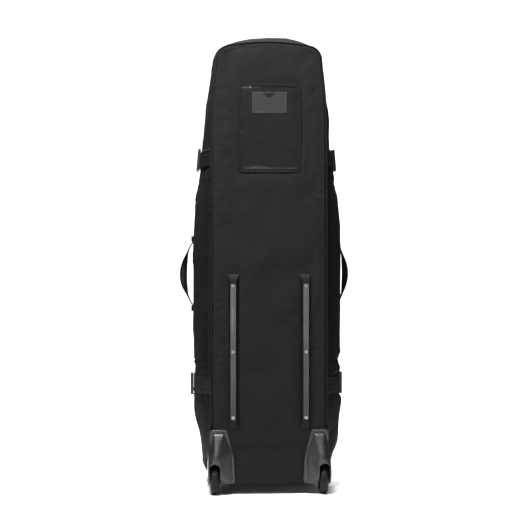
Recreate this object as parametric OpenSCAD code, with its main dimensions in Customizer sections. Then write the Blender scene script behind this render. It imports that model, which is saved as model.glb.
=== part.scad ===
// Wheeled golf travel case: padded fabric shell with a zipped front lid, skid rails,
// two inline wheels, side pockets, compression straps and grab handles.
// Frame: +Z up, -Y is the wheeled back, +X is the right as seen from the back.

/* [Case] */
// Height of the crown above the floor
case_height = 1292; // [1160:4:1400]
// Greatest width of the side walls
case_width = 412; // [380:4:440]
// Width of the back panel between its edge pipings
back_width = 314; // [300:2:330]
// Depth from the back panel's face to the lid's face
case_depth = 290; // [250:5:350]
// How far the crown rises above the back panel's top edge
crown_rise = 37; // [20:1:45]
// How far the top edge of the back panel arches
arch_rise = 11; // [4:1:16]
// Height of the base above the floor
base_clearance = 30; // [26:1:34]
// Thickness of a padded fabric wall
wall = 6; // [4:0.5:8]
// Radius of the back panel's top corners
top_corner_r = 36; // [26:1:46]
// Radius of the case's bottom corners
base_corner_r = 55; // [45:1:60]

/* [Lid] */
// Depth of the zip line, measured from the back panel
zip_depth = 212; // [200:2:216]
// Height of the lid's hinge line at the front of the base
hinge_height = 112; // [100:2:130]
// Height at which the zip line starts to curve forward
zip_bend_height = 262; // [240:2:280]
// Width of one zip tape
zip_tape_w = 10; // [8:0.5:12]
// Height of the lid pocket
lid_pocket_h = 520; // [400:10:600]
// Width of the lid pocket
lid_pocket_w = 250; // [200:5:270]
// How far the lid pocket stands out
lid_pocket_t = 20; // [12:1:26]

/* [Wheels] */
// Wheel diameter
wheel_d = 84; // [76:1:88]
// Wheel width
wheel_w = 24; // [22:0.5:26]
// Distance between the two wheels' centres
wheel_track = 304; // [298:1:308]
// Depth of the axle in front of the back panel's face
axle_depth = 14; // [10:1:18]
// Thickness of a fork cheek
cheek = 5; // [4:0.5:6]
// Gap between a wheel and a cheek
wheel_gap = 2; // [1.5:0.5:3]
// Axle bolt diameter
axle_d = 8; // [6:1:8]

/* [Skid rails] */
// Length of a rail
rail_l = 431; // [340:1:520]
// Height of a rail's lower end
rail_z = 182; // [182:1:200]
// Width of a rail's flat top
rail_top_w = 15; // [13:1:18]
// Height of a rail
rail_h = 14; // [10:1:16]
// Distance between the two rails' flat tops
rail_track = 203; // [190:1:210]
// Length of a rail's end ramp
rail_ramp = 27; // [20:1:30]

/* [Label window] */
// Width of the window's binding
window_w = 178; // [150:1:190]
// Height of the window's binding
window_h = 250; // [200:1:260]
// Height of the window's centre
window_z = 1019; // [1000:1:1030]
// Width of the binding tape
binding_w = 11; // [8:1:13]
// Width of the card pocket
card_w = 94; // [88:1:100]
// Height of the card pocket
card_h = 57; // [54:1:62]

/* [Straps and handles] */
// Width of the compression straps
strap_w = 50; // [40:1:50]
// Thickness of the webbing
web_t = 1.8; // [1.4:0.1:2]
// Height of the upper strap
upper_strap_z = 937; // [925:1:945]
// Height of the lower strap
lower_strap_z = 301; // [296:1:306]
// Distance between a side handle's two ends
handle_span = 178; // [150:1:190]
// How far a side handle stands out
handle_rise = 35; // [30:1:40]
// Height of a side handle's centre
handle_z = 613; // [600:1:620]
// Webbing width of the handles
handle_w = 26; // [22:1:30]
// How far the side handles rest swung forward
handle_rest = 18; // [0:1:24]

/* [Side pockets] */
// Lowest height of the side pockets
pocket_low = 372; // [360:1:390]
// Height of the side pockets' domed top
pocket_high = 866; // [840:1:880]
// How far a side pocket stands out
pocket_t = 7; // [5:1:9]

/* [Hidden] */
$fn = 48;
fit = 0.3;
gap = 0.2;

// The wheel's rearmost point and the haul handle's front face stand the same distance
// from the origin, so the origin is the centre of the bounding box.
surface_high = 2.5;
bridge_h = 4.6;
front_stack = lid_pocket_t + surface_high + 1.4 + bridge_h;
back_y = -(case_depth + front_stack + axle_depth - wheel_d / 2) / 2;
back_top = case_height - crown_rise;
half_back = back_width / 2;
bulge = case_width / 2 - half_back;
base_top = base_clearance + wall;

// Heights, back half widths and side bulges as shares of the driving sizes.
h0 = base_clearance + base_corner_r;
side_table = [
    [h0, half_back - 2, bulge * 0.58],
    [150, half_back - 0.5, bulge * 0.76],
    [zip_bend_height, half_back, bulge],
    [712, half_back, bulge],
    [back_top - 318, half_back, bulge * 0.62],
    [back_top - 165, half_back - 3, bulge * 0.38],
    [back_top - 46, half_back - 14, bulge * 0.20]];
side_top = side_table[6][0];
corner_x = side_table[6][1] - top_corner_r;

// Hermite interpolation of column c of the side table at height z.
function seg(z, i = 0) = i >= len(side_table) - 2 || z < side_table[i + 1][0] ? i : seg(z, i + 1);
// The rise of column c from row i to the next row.
function rise(i, c) = (side_table[i + 1][c] - side_table[i][c]) / (side_table[i + 1][0] - side_table[i][0]);
// A slope at row i that never overshoots, so the stretch beside the zip is truly straight.
function slope(i, c) =
    let (a = rise(max(i - 1, 0), c), b = rise(min(i, len(side_table) - 2), c))
    a * b <= 0 ? 0 : 2 * a * b / (a + b);
function side(z, c) =
    let (i = seg(z), a = side_table[i], b = side_table[i + 1], h = b[0] - a[0],
         q = min(max((z - a[0]) / h, 0), 1))
    (1 + 2 * q) * (1 - q) * (1 - q) * a[c] + q * (1 - q) * (1 - q) * h * slope(i, c)
    + q * q * (3 - 2 * q) * b[c] + q * q * (q - 1) * h * slope(i + 1, c);
function half_w(z) = side(z, 1);
function side_bulge(z) = side(z, 2);

// How the bulge grows with depth: 0 at the back panel, 1 at mid depth, less at the lid.
peak = 0.42;
flat = 11;
// The wall is flat for a short way on each side of the zip line.
function past_flat(t) =
    t < zip_depth - flat ? t : t < zip_depth + flat ? zip_depth - flat :
    zip_depth - flat + (t - zip_depth - flat) * (case_depth - zip_depth + flat) / (case_depth - zip_depth - flat);
function swell(t) =
    let (u = min(max(past_flat(t) / case_depth, 0), 1))
    u < peak ? 1 - pow(1 - u / peak, 1.9) : 1 - 0.5 * pow((u - peak) / (1 - peak), 2.2);

// Depth of the zip line at height z: straight down the side, then forward to the hinge.
fold_low = hinge_height + 18;
function zip_t(z) = z >= zip_bend_height ? zip_depth :
    zip_depth + (case_depth - wall - 4 - zip_depth)
    * pow(min((zip_bend_height - z) / (zip_bend_height - fold_low), 1), 1.6);
// Where the body's side wall ends and where the lid's begins.
seam = 0.7;
function body_edge(z) = z >= zip_bend_height ? zip_depth - zip_tape_w :
    z > fold_low ? zip_t(z) - seam : case_depth - wall - 0.4;
function lid_edge(z) = z >= zip_bend_height ? zip_depth + zip_tape_w : zip_t(z) + seam;

// A station is [x, z, normal x, normal z, bulge] on the back panel's outline.
function unit(x, z) = [x, z] / norm([x, z]);
function base_station(x) = [x, base_clearance, 0, -1, 0];
function corner_station(a) =
    [half_back - 2 - base_corner_r + base_corner_r * sin(a), h0 - base_corner_r * cos(a),
     sin(a), -cos(a), side_table[0][2] * pow(sin(a), 2)];
function side_station(z) =
    let (n = unit(1, -(half_w(z + 1) - half_w(z - 1)) / 2))
    [half_w(z), z, n[0], n[1], side_bulge(z)];
arch_end_a = 80;
arch_x = corner_x + top_corner_r * cos(arch_end_a);
arch_z = side_top + top_corner_r * sin(arch_end_a);
function top_corner_station(a) =
    [corner_x + top_corner_r * cos(a), side_top + top_corner_r * sin(a), cos(a), sin(a),
     side_table[6][2] + (crown_rise * 0.62 - side_table[6][2]) * a / arch_end_a];
function arch_station(q) =
    let (x = arch_x * (1 - q), n = unit(2 * arch_rise * x / (arch_x * arch_x), 1))
    [x, arch_z + (back_top - arch_z) * (1 - pow(1 - q, 2)), n[0], n[1],
     crown_rise * (0.62 + 0.38 * sin(90 * q))];

base_xs = [for (i = [0:3]) base_station(i * (half_back - 2 - base_corner_r) / 4)];
corners = [for (a = [0:15:90]) corner_station(a)];
side_zs = concat([for (i = [1:9]) h0 + (zip_bend_height - h0) * i / 10],
    [for (i = [0:17]) zip_bend_height + (side_top - zip_bend_height) * i / 18]);
sides = [for (z = side_zs) side_station(z)];
top_corners = [for (a = [0:16:arch_end_a]) top_corner_station(a)];
arches = [for (i = [1:5]) arch_station(i / 5)];

function flip(s) = [-s[0], s[1], -s[2], s[3], s[4]];
function back_to_front(list) = [for (i = [len(list) - 1:-1:0]) list[i]];
function slice(list, a, b) = [for (i = [a:b]) list[i]];
half_loop = concat(base_xs, corners, sides, top_corners, arches);
whole_loop = concat(half_loop,
    [for (i = [len(half_loop) - 2:-1:1]) flip(half_loop[i])]);
upper_loop = concat(sides, top_corners, arches,
    [for (s = back_to_front(concat(sides, top_corners, slice(arches, 0, 3)))) flip(s)]);

// The point at depth t and height o over the outer surface, on station s.
function on_skin(s, t, o) =
    let (d = s[4] * swell(t) + o) [s[0] + s[2] * d, back_y + t, s[1] + s[3] * d];

// Sweeps a closed profile along stations. A row is [edge, depth, height, growth]: edge 1
// measures the depth from the zip line, 2 from the body's edge and 3 from the lid's, and
// growth is extra height that fades out at both ends of the run.
function start_t(edge, z) = edge == 0 ? 0 : edge == 1 ? zip_t(z) : edge == 2 ? body_edge(z) : lid_edge(z);
function fade(i, n) = pow(sin(180 * i / (n - 1)), 0.6);
// Both end caps of a sweep of n rings with m points, each cap a ladder between its two sides.
function cap(m) = [for (j = [0:m / 2 - 2]) each [[j, j + 1, m - 2 - j], [j, m - 2 - j, m - 1 - j]]];
function end_caps(m, n) = concat(cap(m), [for (f = cap(m)) [for (i = [2:-1:0]) (n - 1) * m + f[i]]]);
module skin_sweep(stations, profile, loop = false) {
    n = len(stations);
    m = len(profile);
    points = [for (i = [0:n - 1], p = profile) let (s = stations[i])
        on_skin(s, start_t(p[0], s[1]) + p[1], p[2] + (len(p) > 3 ? p[3] * fade(i, n) : 0))];
    last = loop ? n - 1 : n - 2;
    walls = [for (i = [0:last], j = [0:m - 1])
        let (a = i * m + j, b = i * m + (j + 1) % m,
             c = ((i + 1) % n) * m + (j + 1) % m, d = ((i + 1) % n) * m + j)
        each [[a, c, b], [a, d, c]]];
    polyhedron(points, concat(walls, loop ? [] : end_caps(m, n)));
}

// The profile of a wall of thickness th between two depths.
function wall_profile(t0, t1, out, th, steps) = concat(
    [for (i = [0:steps]) [0, t0 + (t1 - t0) * i / steps, out]],
    [for (i = [steps:-1:0]) [0, t0 + (t1 - t0) * i / steps, out - th]]);
function ring_profile(t, o, r) = [for (a = [315:-45:0]) [0, t + r * cos(a), o + r * sin(a)]];

// Draws a 2D shape of x and z as a plate between two depths.
module plate(t0, t1) {
    translate([0, back_y + t1, 0]) rotate([90, 0, 0]) linear_extrude(t1 - t0) children();
}
module outline(t, o = 0) {
    polygon([for (s = whole_loop) let (p = on_skin(s, t, o)) [p[0], p[2]]]);
}
module rounded(w, h, r) {
    hull() for (x = [-1, 1], z = [-1, 1])
        translate([x * (w / 2 - r), z * (h / 2 - r)]) circle(r, $fn = 32);
}
module both_sides() {
    children();
    mirror([1, 0, 0]) children();
}
// A cylinder along Y from depth t0 to t1.
module rod_y(x, z, r, t0, t1) {
    translate([x, back_y + t1, z]) rotate([90, 0, 0]) cylinder(r = r, h = t1 - t0);
}
// A cylinder along X, centred on depth t.
module rod_x(x0, x1, t, z, r) {
    translate([x0, back_y + t, z]) rotate([0, 90, 0]) cylinder(r = r, h = x1 - x0);
}

// ---- Wheels -------------------------------------------------------------
wheel_x = wheel_track / 2;
axle_z = wheel_d / 2;
slot_w = wheel_w + 2 * wheel_gap;
fork_in = wheel_x - slot_w / 2 - cheek;
fork_out = wheel_x + slot_w / 2 + cheek;
well_top = wheel_d + 4;
well_depth = axle_depth + wheel_d / 2 + 4;
hub_r = 24;
bearing_r = 11;
bearing_w = 7;
bearing_bore = axle_d / 2;
inner_ring_r = bearing_bore + 1.8;
screw_r = 2.5;
boss = 7;
board_t = 3;
board_half = fork_in - boss - 3;

// The pocket that a wheel housing takes out of the fabric walls.
module well_cut() {
    both_sides() translate([fork_in - boss - fit, back_y - 1, -1])
        cube([90, well_depth + cheek + 1 + fit, well_top + cheek + 1 + fit]);
}

// Housing outline in x and z: flange on the back panel.
house_top = rail_z - 1;
house_out = half_back + 9.5;
module flange_shape(inset = 0) {
    offset(r = 10 - inset, $fn = 32) offset(delta = -10)
        polygon([[94, base_clearance + 1], [98, 101], [117, house_top],
                 [house_out, house_top], [house_out, 96], [fork_out, 74],
                 [fork_out, base_clearance + 1]]);
}
module wheel_slot() {
    plate(-60, well_depth) {
        translate([wheel_x, well_top - slot_w / 2]) circle(slot_w / 2);
        translate([wheel_x - slot_w / 2, -5]) square([slot_w, well_top - slot_w / 2 + 5]);
    }
}
housing_screw_places = [[114, 62], [117, 100], [125, 138]];
module wheel_housing() {
    color([0.16, 0.16, 0.17]) difference() {
        union() {
            plate(-3, -gap) flange_shape();
            hull() {
                plate(-5, -3) flange_shape(14);
                translate([wheel_x - 4, back_y - 16, 104]) sphere(16, $fn = 32);
                rod_x(fork_in, fork_out, -16, 58, 14);
                rod_x(fork_in, fork_out, axle_depth - 8, axle_z, 14.5);
                plate(-5, -3) translate([106, base_clearance + 1])
                    square([fork_out - 106, 90]);
            }
            translate([fork_in - boss, back_y - 6, base_clearance])
                cube([fork_out - fork_in + boss, well_depth + cheek + 6, well_top + cheek - base_clearance]);
            rod_x(fork_in, fork_out, axle_depth, axle_z, 14.5);
        }
        wheel_slot();
        // The hull may not enter the back panel beside the wheel box.
        translate([60, back_y - gap, -20]) cube([fork_in - boss - 60, 90, 260]);
        rod_x(fork_in - boss - 1, fork_in, axle_depth, axle_z, 7.6);
        translate([60, back_y - gap, well_top + cheek]) cube([140, 90, 160]);
        rod_x(fork_in - 1, fork_out + 1, axle_depth, axle_z, axle_d / 2 + 0.05);
        for (p = housing_screw_places) rod_y(p[0], p[1], screw_r - 0.4 + 0.05, -3.6, 1);
    }
}
module left_wheel_housing() { mirror([1, 0, 0]) wheel_housing(); }
module right_wheel_housing() { wheel_housing(); }

// A wheel's parts stand on the wheel's own axis and are moved by at_wheel.
module at_wheel(side = 1) {
    translate([side * wheel_x, back_y + axle_depth, axle_z]) rotate([0, 90, 0]) children();
}
module tyre() {
    r = wheel_d / 2;
    color([0.24, 0.24, 0.25]) rotate_extrude($fn = 96) intersection() {
        translate([hub_r, -wheel_w / 2]) square([r, wheel_w]);
        union() {
            translate([r - 10, 0]) scale([1, 1.2]) circle(10, $fn = 48);
            translate([hub_r, -wheel_w / 2 + 3]) square([r - 10 - hub_r, wheel_w - 6]);
        }
    }
}
module hub() {
    w = wheel_w - 6;
    color([0.12, 0.12, 0.13]) difference() {
        union() {
            cylinder(r = hub_r - 0.02, h = w, center = true);
            cylinder(r = bearing_r + 3, h = wheel_w - 1, center = true);
        }
        cylinder(r = bearing_r - 2, h = wheel_w + 2, center = true);
        for (s = [-1, 1]) translate([0, 0, s * (wheel_w / 2 - bearing_w / 2 + 0.5)])
            cylinder(r = bearing_r + 0.02, h = bearing_w + 2, center = true);
        for (a = [0:60:300]) rotate(a) translate([bearing_r + 7.6, 0, 0])
            cylinder(r = 3.2, h = wheel_w + 2, center = true, $fn = 24);
    }
}
module bearings() {
    color([0.72, 0.72, 0.74]) for (s = [-1, 1])
        translate([0, 0, s * (wheel_w / 2 - bearing_w / 2 - 0.5)]) difference() {
            cylinder(r = bearing_r, h = bearing_w - 0.2, center = true);
            cylinder(r = inner_ring_r + 0.05, h = bearing_w + 1, center = true);
        }
}
module spacer_set() {
    inner = wheel_w - 2 * bearing_w - 1;
    for (s = [-1, 1]) translate([0, 0, s * (wheel_w / 2 - bearing_w / 2 - 0.5)]) difference() {
        cylinder(r = inner_ring_r, h = bearing_w - 0.2, center = true);
        cylinder(r = axle_d / 2 + 0.03, h = bearing_w + 1, center = true);
    }
    difference() {
        cylinder(r = axle_d / 2 + 1.2, h = inner, center = true);
        cylinder(r = axle_d / 2 + 0.03, h = inner + 2, center = true);
    }
    for (s = [-1, 1]) translate([0, 0, s * (wheel_w / 2 + wheel_gap / 2 - 0.2)]) difference() {
        cylinder(r = axle_d / 2 + 1.5, h = wheel_gap + 0.4, center = true);
        cylinder(r = axle_d / 2 + 0.03, h = wheel_gap + 2, center = true);
    }
}
module axle_spacers() {
    color([0.6, 0.6, 0.62]) both_sides() at_wheel() spacer_set();
}
module axle_bolts() {
    reach = slot_w / 2 + cheek;
    color([0.62, 0.62, 0.64]) both_sides() {
        rod_x(wheel_x - reach - 6, wheel_x + reach, axle_depth, axle_z, axle_d / 2);
        rod_x(wheel_x + reach, wheel_x + reach + 3, axle_depth, axle_z, 7);
        difference() {
            translate([wheel_x - reach - 5.2, back_y + axle_depth, axle_z])
                rotate([0, 90, 0]) cylinder(r = 7, h = 5, $fn = 6);
            rod_x(wheel_x - reach - 7, wheel_x - reach + 1, axle_depth, axle_z, axle_d / 2 + 0.03);
        }
    }
}
module left_tyre() { at_wheel(-1) tyre(); }
module right_tyre() { at_wheel(1) tyre(); }
module left_hub() { at_wheel(-1) hub(); }
module right_hub() { at_wheel(1) hub(); }
module left_bearings() { at_wheel(-1) bearings(); }
module right_bearings() { at_wheel(1) bearings(); }

// ---- Fabric shell -------------------------------------------------------
fabric = [0.13, 0.13, 0.135];
rail_x = rail_track / 2;
rail_mid = rail_z + rail_l / 2;
rail_screw_step = (rail_l - 2 * rail_ramp - 12) / 2;
rail_screw_places = [for (s = [-1:1]) rail_mid + s * rail_screw_step];
foot_x = 100;
foot_t = case_depth - 46;

module panel_holes(t0, t1) {
    both_sides() {
        for (z = rail_screw_places) rod_y(rail_x, z, screw_r + 0.1, t0, t1);
        for (p = housing_screw_places) rod_y(p[0], p[1], screw_r + 0.1, t0, t1);
    }
}
module back_panel() {
    color(fabric) difference() {
        plate(0, wall) outline(0);
        well_cut();
        panel_holes(-1, wall + 1);
    }
}
module inner_boards() {
    low = base_top + board_t + 2;
    color([0.3, 0.3, 0.3]) {
        difference() {
            plate(wall + gap, wall + board_t) translate([-board_half, low])
                square([2 * board_half, rail_z + rail_l + 30 - low]);
            panel_holes(wall - 1, wall + board_t + 1);
        }
        difference() {
            translate([-half_back + base_corner_r, back_y + wall + board_t + 1, base_top + gap])
                cube([2 * (half_back - base_corner_r), case_depth - 2 * wall - board_t - 2, board_t]);
            foot_holes(screw_r + 0.1, 0, 60);
        }
    }
}
// Piping runs over the top between the wheel housings.
piping_r = 2.5;
piping_stations = [for (s = upper_loop) if (s[1] > house_top + 3) s];
module back_piping() {
    color([0.05, 0.05, 0.05])
        skin_sweep(piping_stations, ring_profile(1.5, piping_r + gap, piping_r));
}
// The body half of the side walls stops at the zip tape.
side_run = concat(slice(corners, 3, 6), sides, slice(top_corners, 0, 3));
body_steps = 8;
// The wall from the back panel to the zip: evenly to the flat band, then two steps to the edge.
function body_t(j, edge) =
    let (band = zip_depth - flat)
    j < 7 ? wall + gap + (band - wall - gap) * j / 6 : j == 7 ? band + (edge - band) * 0.27 : edge;
module body_wall(stations) {
    n = len(stations);
    m = 2 * (body_steps + 1);
    points = [for (s = stations, j = [0:m - 1])
        on_skin(s, body_t(j <= body_steps ? j : m - 1 - j, body_edge(s[1])), j <= body_steps ? 0 : -wall)];
    walls = [for (i = [0:n - 2], j = [0:m - 1])
        let (a = i * m + j, b = i * m + (j + 1) % m) each [[a, b + m, b], [a, a + m, b + m]]];
    polyhedron(points, concat(walls, end_caps(m, n)));
}
module side_gusset() {
    color(fabric) difference() {
        body_wall(side_run);
        well_cut();
    }
}
module left_gusset() { mirror([1, 0, 0]) side_gusset(); }
module right_gusset() { side_gusset(); }
top_run = concat(slice(top_corners, 3, 5), arches);
crown_run = concat(top_run, [for (i = [len(top_run) - 2:-1:0]) flip(top_run[i])]);
module top_gusset() {
    color(fabric) body_wall(crown_run);
}
pad_run = slice(crown_run, 2, len(crown_run) - 3);
module crown_pad() {
    color([0.2, 0.2, 0.2])
        skin_sweep(pad_run, wall_profile(wall + 2, zip_depth - zip_tape_w - 6, -wall - 1.2, 21, 6));
}
base_run_half = concat(slice(base_xs, 0, 3), slice(corners, 0, 3));
base_run = concat([for (i = [len(base_run_half) - 1:-1:1]) flip(base_run_half[i])], base_run_half);
module foot_holes(r, z0, z1) {
    both_sides() translate([foot_x, back_y + foot_t, z0]) cylinder(r = r, h = z1 - z0);
}
module base_panel() {
    color([0.1, 0.1, 0.1]) difference() {
        skin_sweep(base_run, wall_profile(wall + gap, case_depth - wall - 0.4, 0, wall, 6));
        well_cut();
        foot_holes(screw_r + 0.1, 0, 60);
    }
}
// The fixed front wall below the lid's hinge.
module front_skirt() {
    color(fabric) plate(case_depth - wall, case_depth) intersection() {
        outline(case_depth);
        translate([-300, 0]) square([600, hinge_height - 1.5]);
    }
}
// Hard-wearing patch low on the back, between the wheel housings.
module base_wrap() {
    color([0.12, 0.12, 0.125]) plate(-1.2, -gap)
        translate([-92, base_clearance + 1.5]) square([184, 97]);
}

// ---- Label window -------------------------------------------------------
module window_binding() {
    color([0.08, 0.08, 0.085]) plate(-2.4, -gap) translate([0, window_z]) difference() {
        rounded(window_w, window_h, 20);
        rounded(window_w - 2 * binding_w, window_h - 2 * binding_w, 20 - binding_w);
    }
}
module window_sheet() {
    color([0.5, 0.5, 0.5]) plate(-1.9, -1.3) translate([0, window_z])
        rounded(window_w - 2 * binding_w - 0.4, window_h - 2 * binding_w - 0.4, 20 - binding_w);
}
card_z = window_z + window_h / 2 - binding_w - 14 - card_h / 2;
module card_pocket() {
    color([0.7, 0.7, 0.7]) plate(-0.9, -0.4) translate([0, card_z]) difference() {
        square([card_w, card_h], center = true);
        translate([0, card_h / 2]) circle(15);
    }
}

// ---- Skid rails ---------------------------------------------------------
rail_in = 9.5;
rail_out = 4.5;
module skid_rail() {
    half = rail_top_w / 2;
    color([0.38, 0.38, 0.4]) difference() {
        hull() {
            plate(-2, -gap) translate([rail_x - half - rail_in, rail_z])
                square([rail_top_w + rail_in + rail_out, rail_l]);
            plate(-rail_h, -rail_h + 0.5) translate([rail_x - half, rail_z + rail_ramp])
                square([rail_top_w, rail_l - 2 * rail_ramp]);
        }
        for (z = rail_screw_places) {
            rod_y(rail_x, z, screw_r + 0.1, -rail_h - 1, 1);
            rod_y(rail_x, z, 5.2, -rail_h - 1, -rail_h + 3);
        }
    }
}
module left_skid_rail() { mirror([1, 0, 0]) skid_rail(); }
module right_skid_rail() { skid_rail(); }
nut_t = 4;
module rail_screws() {
    color([0.7, 0.7, 0.72]) both_sides() for (z = rail_screw_places) {
        rod_y(rail_x, z, screw_r, -rail_h + 1, wall + board_t + nut_t + 1);
        rod_y(rail_x, z, 4.8, -rail_h + 0.4, -rail_h + 2.9);
    }
}
module rail_nuts() {
    color([0.5, 0.5, 0.52]) both_sides() for (z = rail_screw_places) difference() {
        rod_y(rail_x, z, 7, wall + board_t + gap, wall + board_t + nut_t);
        rod_y(rail_x, z, screw_r + 0.04, wall, wall + board_t + nut_t + 1);
    }
}

// ---- Base fasteners and feet --------------------------------------------
foot_bore = 6;
foot_bore_h = 14;
module front_feet() {
    color([0.14, 0.14, 0.15]) both_sides() difference() {
        hull() {
            for (s = [-1, 1]) {
                translate([foot_x + s * 14, back_y + foot_t, 0]) cylinder(r = 13, h = 4);
                translate([foot_x + s * 16, back_y + foot_t, base_clearance - 5 - gap])
                    cylinder(r = 20, h = 5);
            }
        }
        translate([foot_x, back_y + foot_t, -1]) cylinder(r = foot_bore, h = foot_bore_h + 1);
        translate([foot_x, back_y + foot_t, -1]) cylinder(r = screw_r + 0.1, h = 60);
    }
}
module base_screws() {
    top = base_top + board_t + gap;
    color([0.7, 0.7, 0.72]) both_sides() {
        translate([foot_x, back_y + foot_t, foot_bore_h - 3]) {
            cylinder(r = screw_r, h = top + 4 - foot_bore_h);
            cylinder(r = 5, h = 2.9);
        }
        difference() {
            translate([foot_x, back_y + foot_t, top + gap]) cylinder(r = 7, h = 3);
            translate([foot_x, back_y + foot_t, top - 1]) cylinder(r = screw_r + 0.04, h = 6);
        }
        for (p = housing_screw_places) {
            rod_y(p[0], p[1], screw_r - 0.4, -3.4, wall + board_t + 1);
            rod_y(p[0], p[1], 4.8, wall + board_t + gap, wall + board_t + 3);
        }
    }
}

// ---- Compression straps -------------------------------------------------
strap_zs = [upper_strap_z, lower_strap_z];
buckle_t = zip_depth - 67;
buckle_w = strap_w + 12;
socket_back = 37;
socket_front = 5;
plug_back = 17;
plug_front = 33;
buckle_h = 8;

// Strap stations run along z, so the strap is a patch of the side wall's surface.
function strap_stations(z, w) = [for (i = [-1:1]) side_station(z + i * w / 2)];
module strap(z, t0, t1) {
    skin_sweep(strap_stations(z, strap_w), wall_profile(t0, t1, 2 * gap + web_t, web_t, 6));
}
module side_webbing() {
    color([0.06, 0.06, 0.06]) for (z = strap_zs) {
        strap(z, wall, buckle_t - socket_back + 6);
        strap(z, buckle_t + plug_front - 12, zip_depth - zip_tape_w - 2);
    }
}
module left_webbing() { mirror([1, 0, 0]) side_webbing(); }
module right_webbing() { side_webbing(); }

// Moves buckle parts, drawn with x outward from the strap, to the right side wall.
module at_buckle(z) {
    s = side_station(z);
    lift = on_skin(s, case_depth * peak, web_t + 3 * gap) + [0, buckle_t - case_depth * peak, 0];
    tilt = atan((half_w(z - 20) + side_bulge(z - 20) - half_w(z + 20) - side_bulge(z + 20)) / 40);
    translate(lift) rotate([0, -tilt, 0]) children();
}
module buckle_socket() {
    inside = strap_w + 2;
    difference() {
        translate([0, -socket_back, -buckle_w / 2]) cube([buckle_h, socket_back + socket_front, buckle_w]);
        translate([2, -plug_back - 1.5, -inside / 2]) cube([buckle_h - 4, 60, inside]);
        for (s = [-1, 1]) translate([-1, -plug_back + 1, s * (buckle_w / 2 - 1) - 5])
            cube([buckle_h + 2, 11, 10]);
        translate([-1, -socket_back + 4, -inside / 2]) cube([buckle_h + 2, 5, inside]);
    }
}
module buckle_plug() {
    inside = strap_w + 2;
    arm = 8;
    color([0.09, 0.09, 0.095]) difference() {
        union() {
            translate([2 + fit, socket_front - 1, -inside / 2 + fit])
                cube([buckle_h - 4 - 2 * fit, 8, inside - 2 * fit]);
            translate([0, socket_front + fit, -buckle_w / 2])
                cube([buckle_h, plug_front - socket_front - fit, buckle_w]);
            for (z = [-inside / 2 + fit, -arm / 2, inside / 2 - fit - arm])
                translate([2 + fit, -plug_back, z])
                    cube([buckle_h - 4 - 2 * fit, plug_back + socket_front, arm]);
        }
        for (y = [12, 22]) translate([-1, socket_front + y - 4, -strap_w / 2 - 1])
            cube([buckle_h + 2, 5, strap_w + 2]);
    }
}
module buckle_sockets() {
    color([0.09, 0.09, 0.095]) both_sides() for (z = strap_zs) at_buckle(z) buckle_socket();
}
module left_upper_plug() { mirror([1, 0, 0]) at_buckle(upper_strap_z) buckle_plug(); }
module left_lower_plug() { mirror([1, 0, 0]) at_buckle(lower_strap_z) buckle_plug(); }
module right_upper_plug() { at_buckle(upper_strap_z) buckle_plug(); }
module right_lower_plug() { at_buckle(lower_strap_z) buckle_plug(); }

// ---- Main zip -----------------------------------------------------------
coil_w = 2.4;
coil_h = 1.2;
tape_t = 1.2;
zip_gap = 0.7;
upper_sides = [for (s = sides) if (s[1] > zip_bend_height - 1) s];
zip_run_half = concat(upper_sides, top_corners, arches);
zip_run = concat(zip_run_half, [for (i = [len(zip_run_half) - 2:-1:0]) flip(zip_run_half[i])]);
// A tape with a raised coil along its edge; side is -1 for the body and 1 for the lid.
function zip_profile(side, t = zip_depth, o = 0) =
    let (list = [[0, t + side * zip_gap, o - 2 * tape_t], [0, t + side * (zip_gap + coil_w), o - 2 * tape_t],
        [0, t + side * (zip_gap + coil_w + 0.1), o - tape_t], [0, t + side * (zip_tape_w - gap), o - tape_t],
        [0, t + side * (zip_tape_w - gap), o - 0.1], [0, t + side * (zip_gap + coil_w + 0.1), o - 0.1],
        [0, t + side * (zip_gap + coil_w), o + coil_h - tape_t], [0, t + side * zip_gap, o + coil_h - tape_t]])
    side < 0 ? list : back_to_front(list);
// A stitched tab over each half of the zip's lower end.
module zip_tab(side) {
    both_sides() skin_sweep([for (i = [-2:2]) side_station(zip_bend_height + i * 5 - 8)],
        wall_profile(zip_depth + (side < 0 ? -16 : zip_gap), zip_depth + (side < 0 ? -zip_gap : 16), 1.4, 1.1, 3));
}
module body_zip() {
    color([0.04, 0.04, 0.04]) {
        skin_sweep(zip_run, zip_profile(-1));
        zip_tab(-1);
    }
}
module lid_zip() {
    color([0.04, 0.04, 0.04]) {
        skin_sweep(zip_run, zip_profile(1));
        zip_tab(1);
    }
}

// Zip hardware is drawn with x outward, z down the hanging pull and y across.
slider_l = 14;
slider_w = 11;
chain_low = -2 * tape_t - fit;
chain_high = coil_h - tape_t + fit;
// The raised bridge that holds the pull's bar, standing on height x.
module bridge(x) {
    translate([x - 0.2, -1.6, -5]) difference() {
        cube([bridge_h, 3.2, 10]);
        translate([-1, -1, 3.2]) cube([bridge_h - 0.5, 6, 3.6]);
    }
}
pull_l = 34;
bar_lift = 1.5;
// A pull turns on a bar through the bridge that stands on height x.
module pull(x) {
    color([0.2, 0.2, 0.21]) translate([x + bar_lift, 0, 0]) {
        for (s = [-1, 1]) translate([-0.8, s * 3.1 - 1, -9]) cube([1.6, 2, 10]);
        translate([0, -4.1, 0]) rotate([-90, 0, 0]) cylinder(r = 0.8, h = 8.2, $fn = 24);
        translate([-0.8, -4.1, -pull_l]) cube([1.6, 8.2, pull_l - 8]);
    }
}
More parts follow.
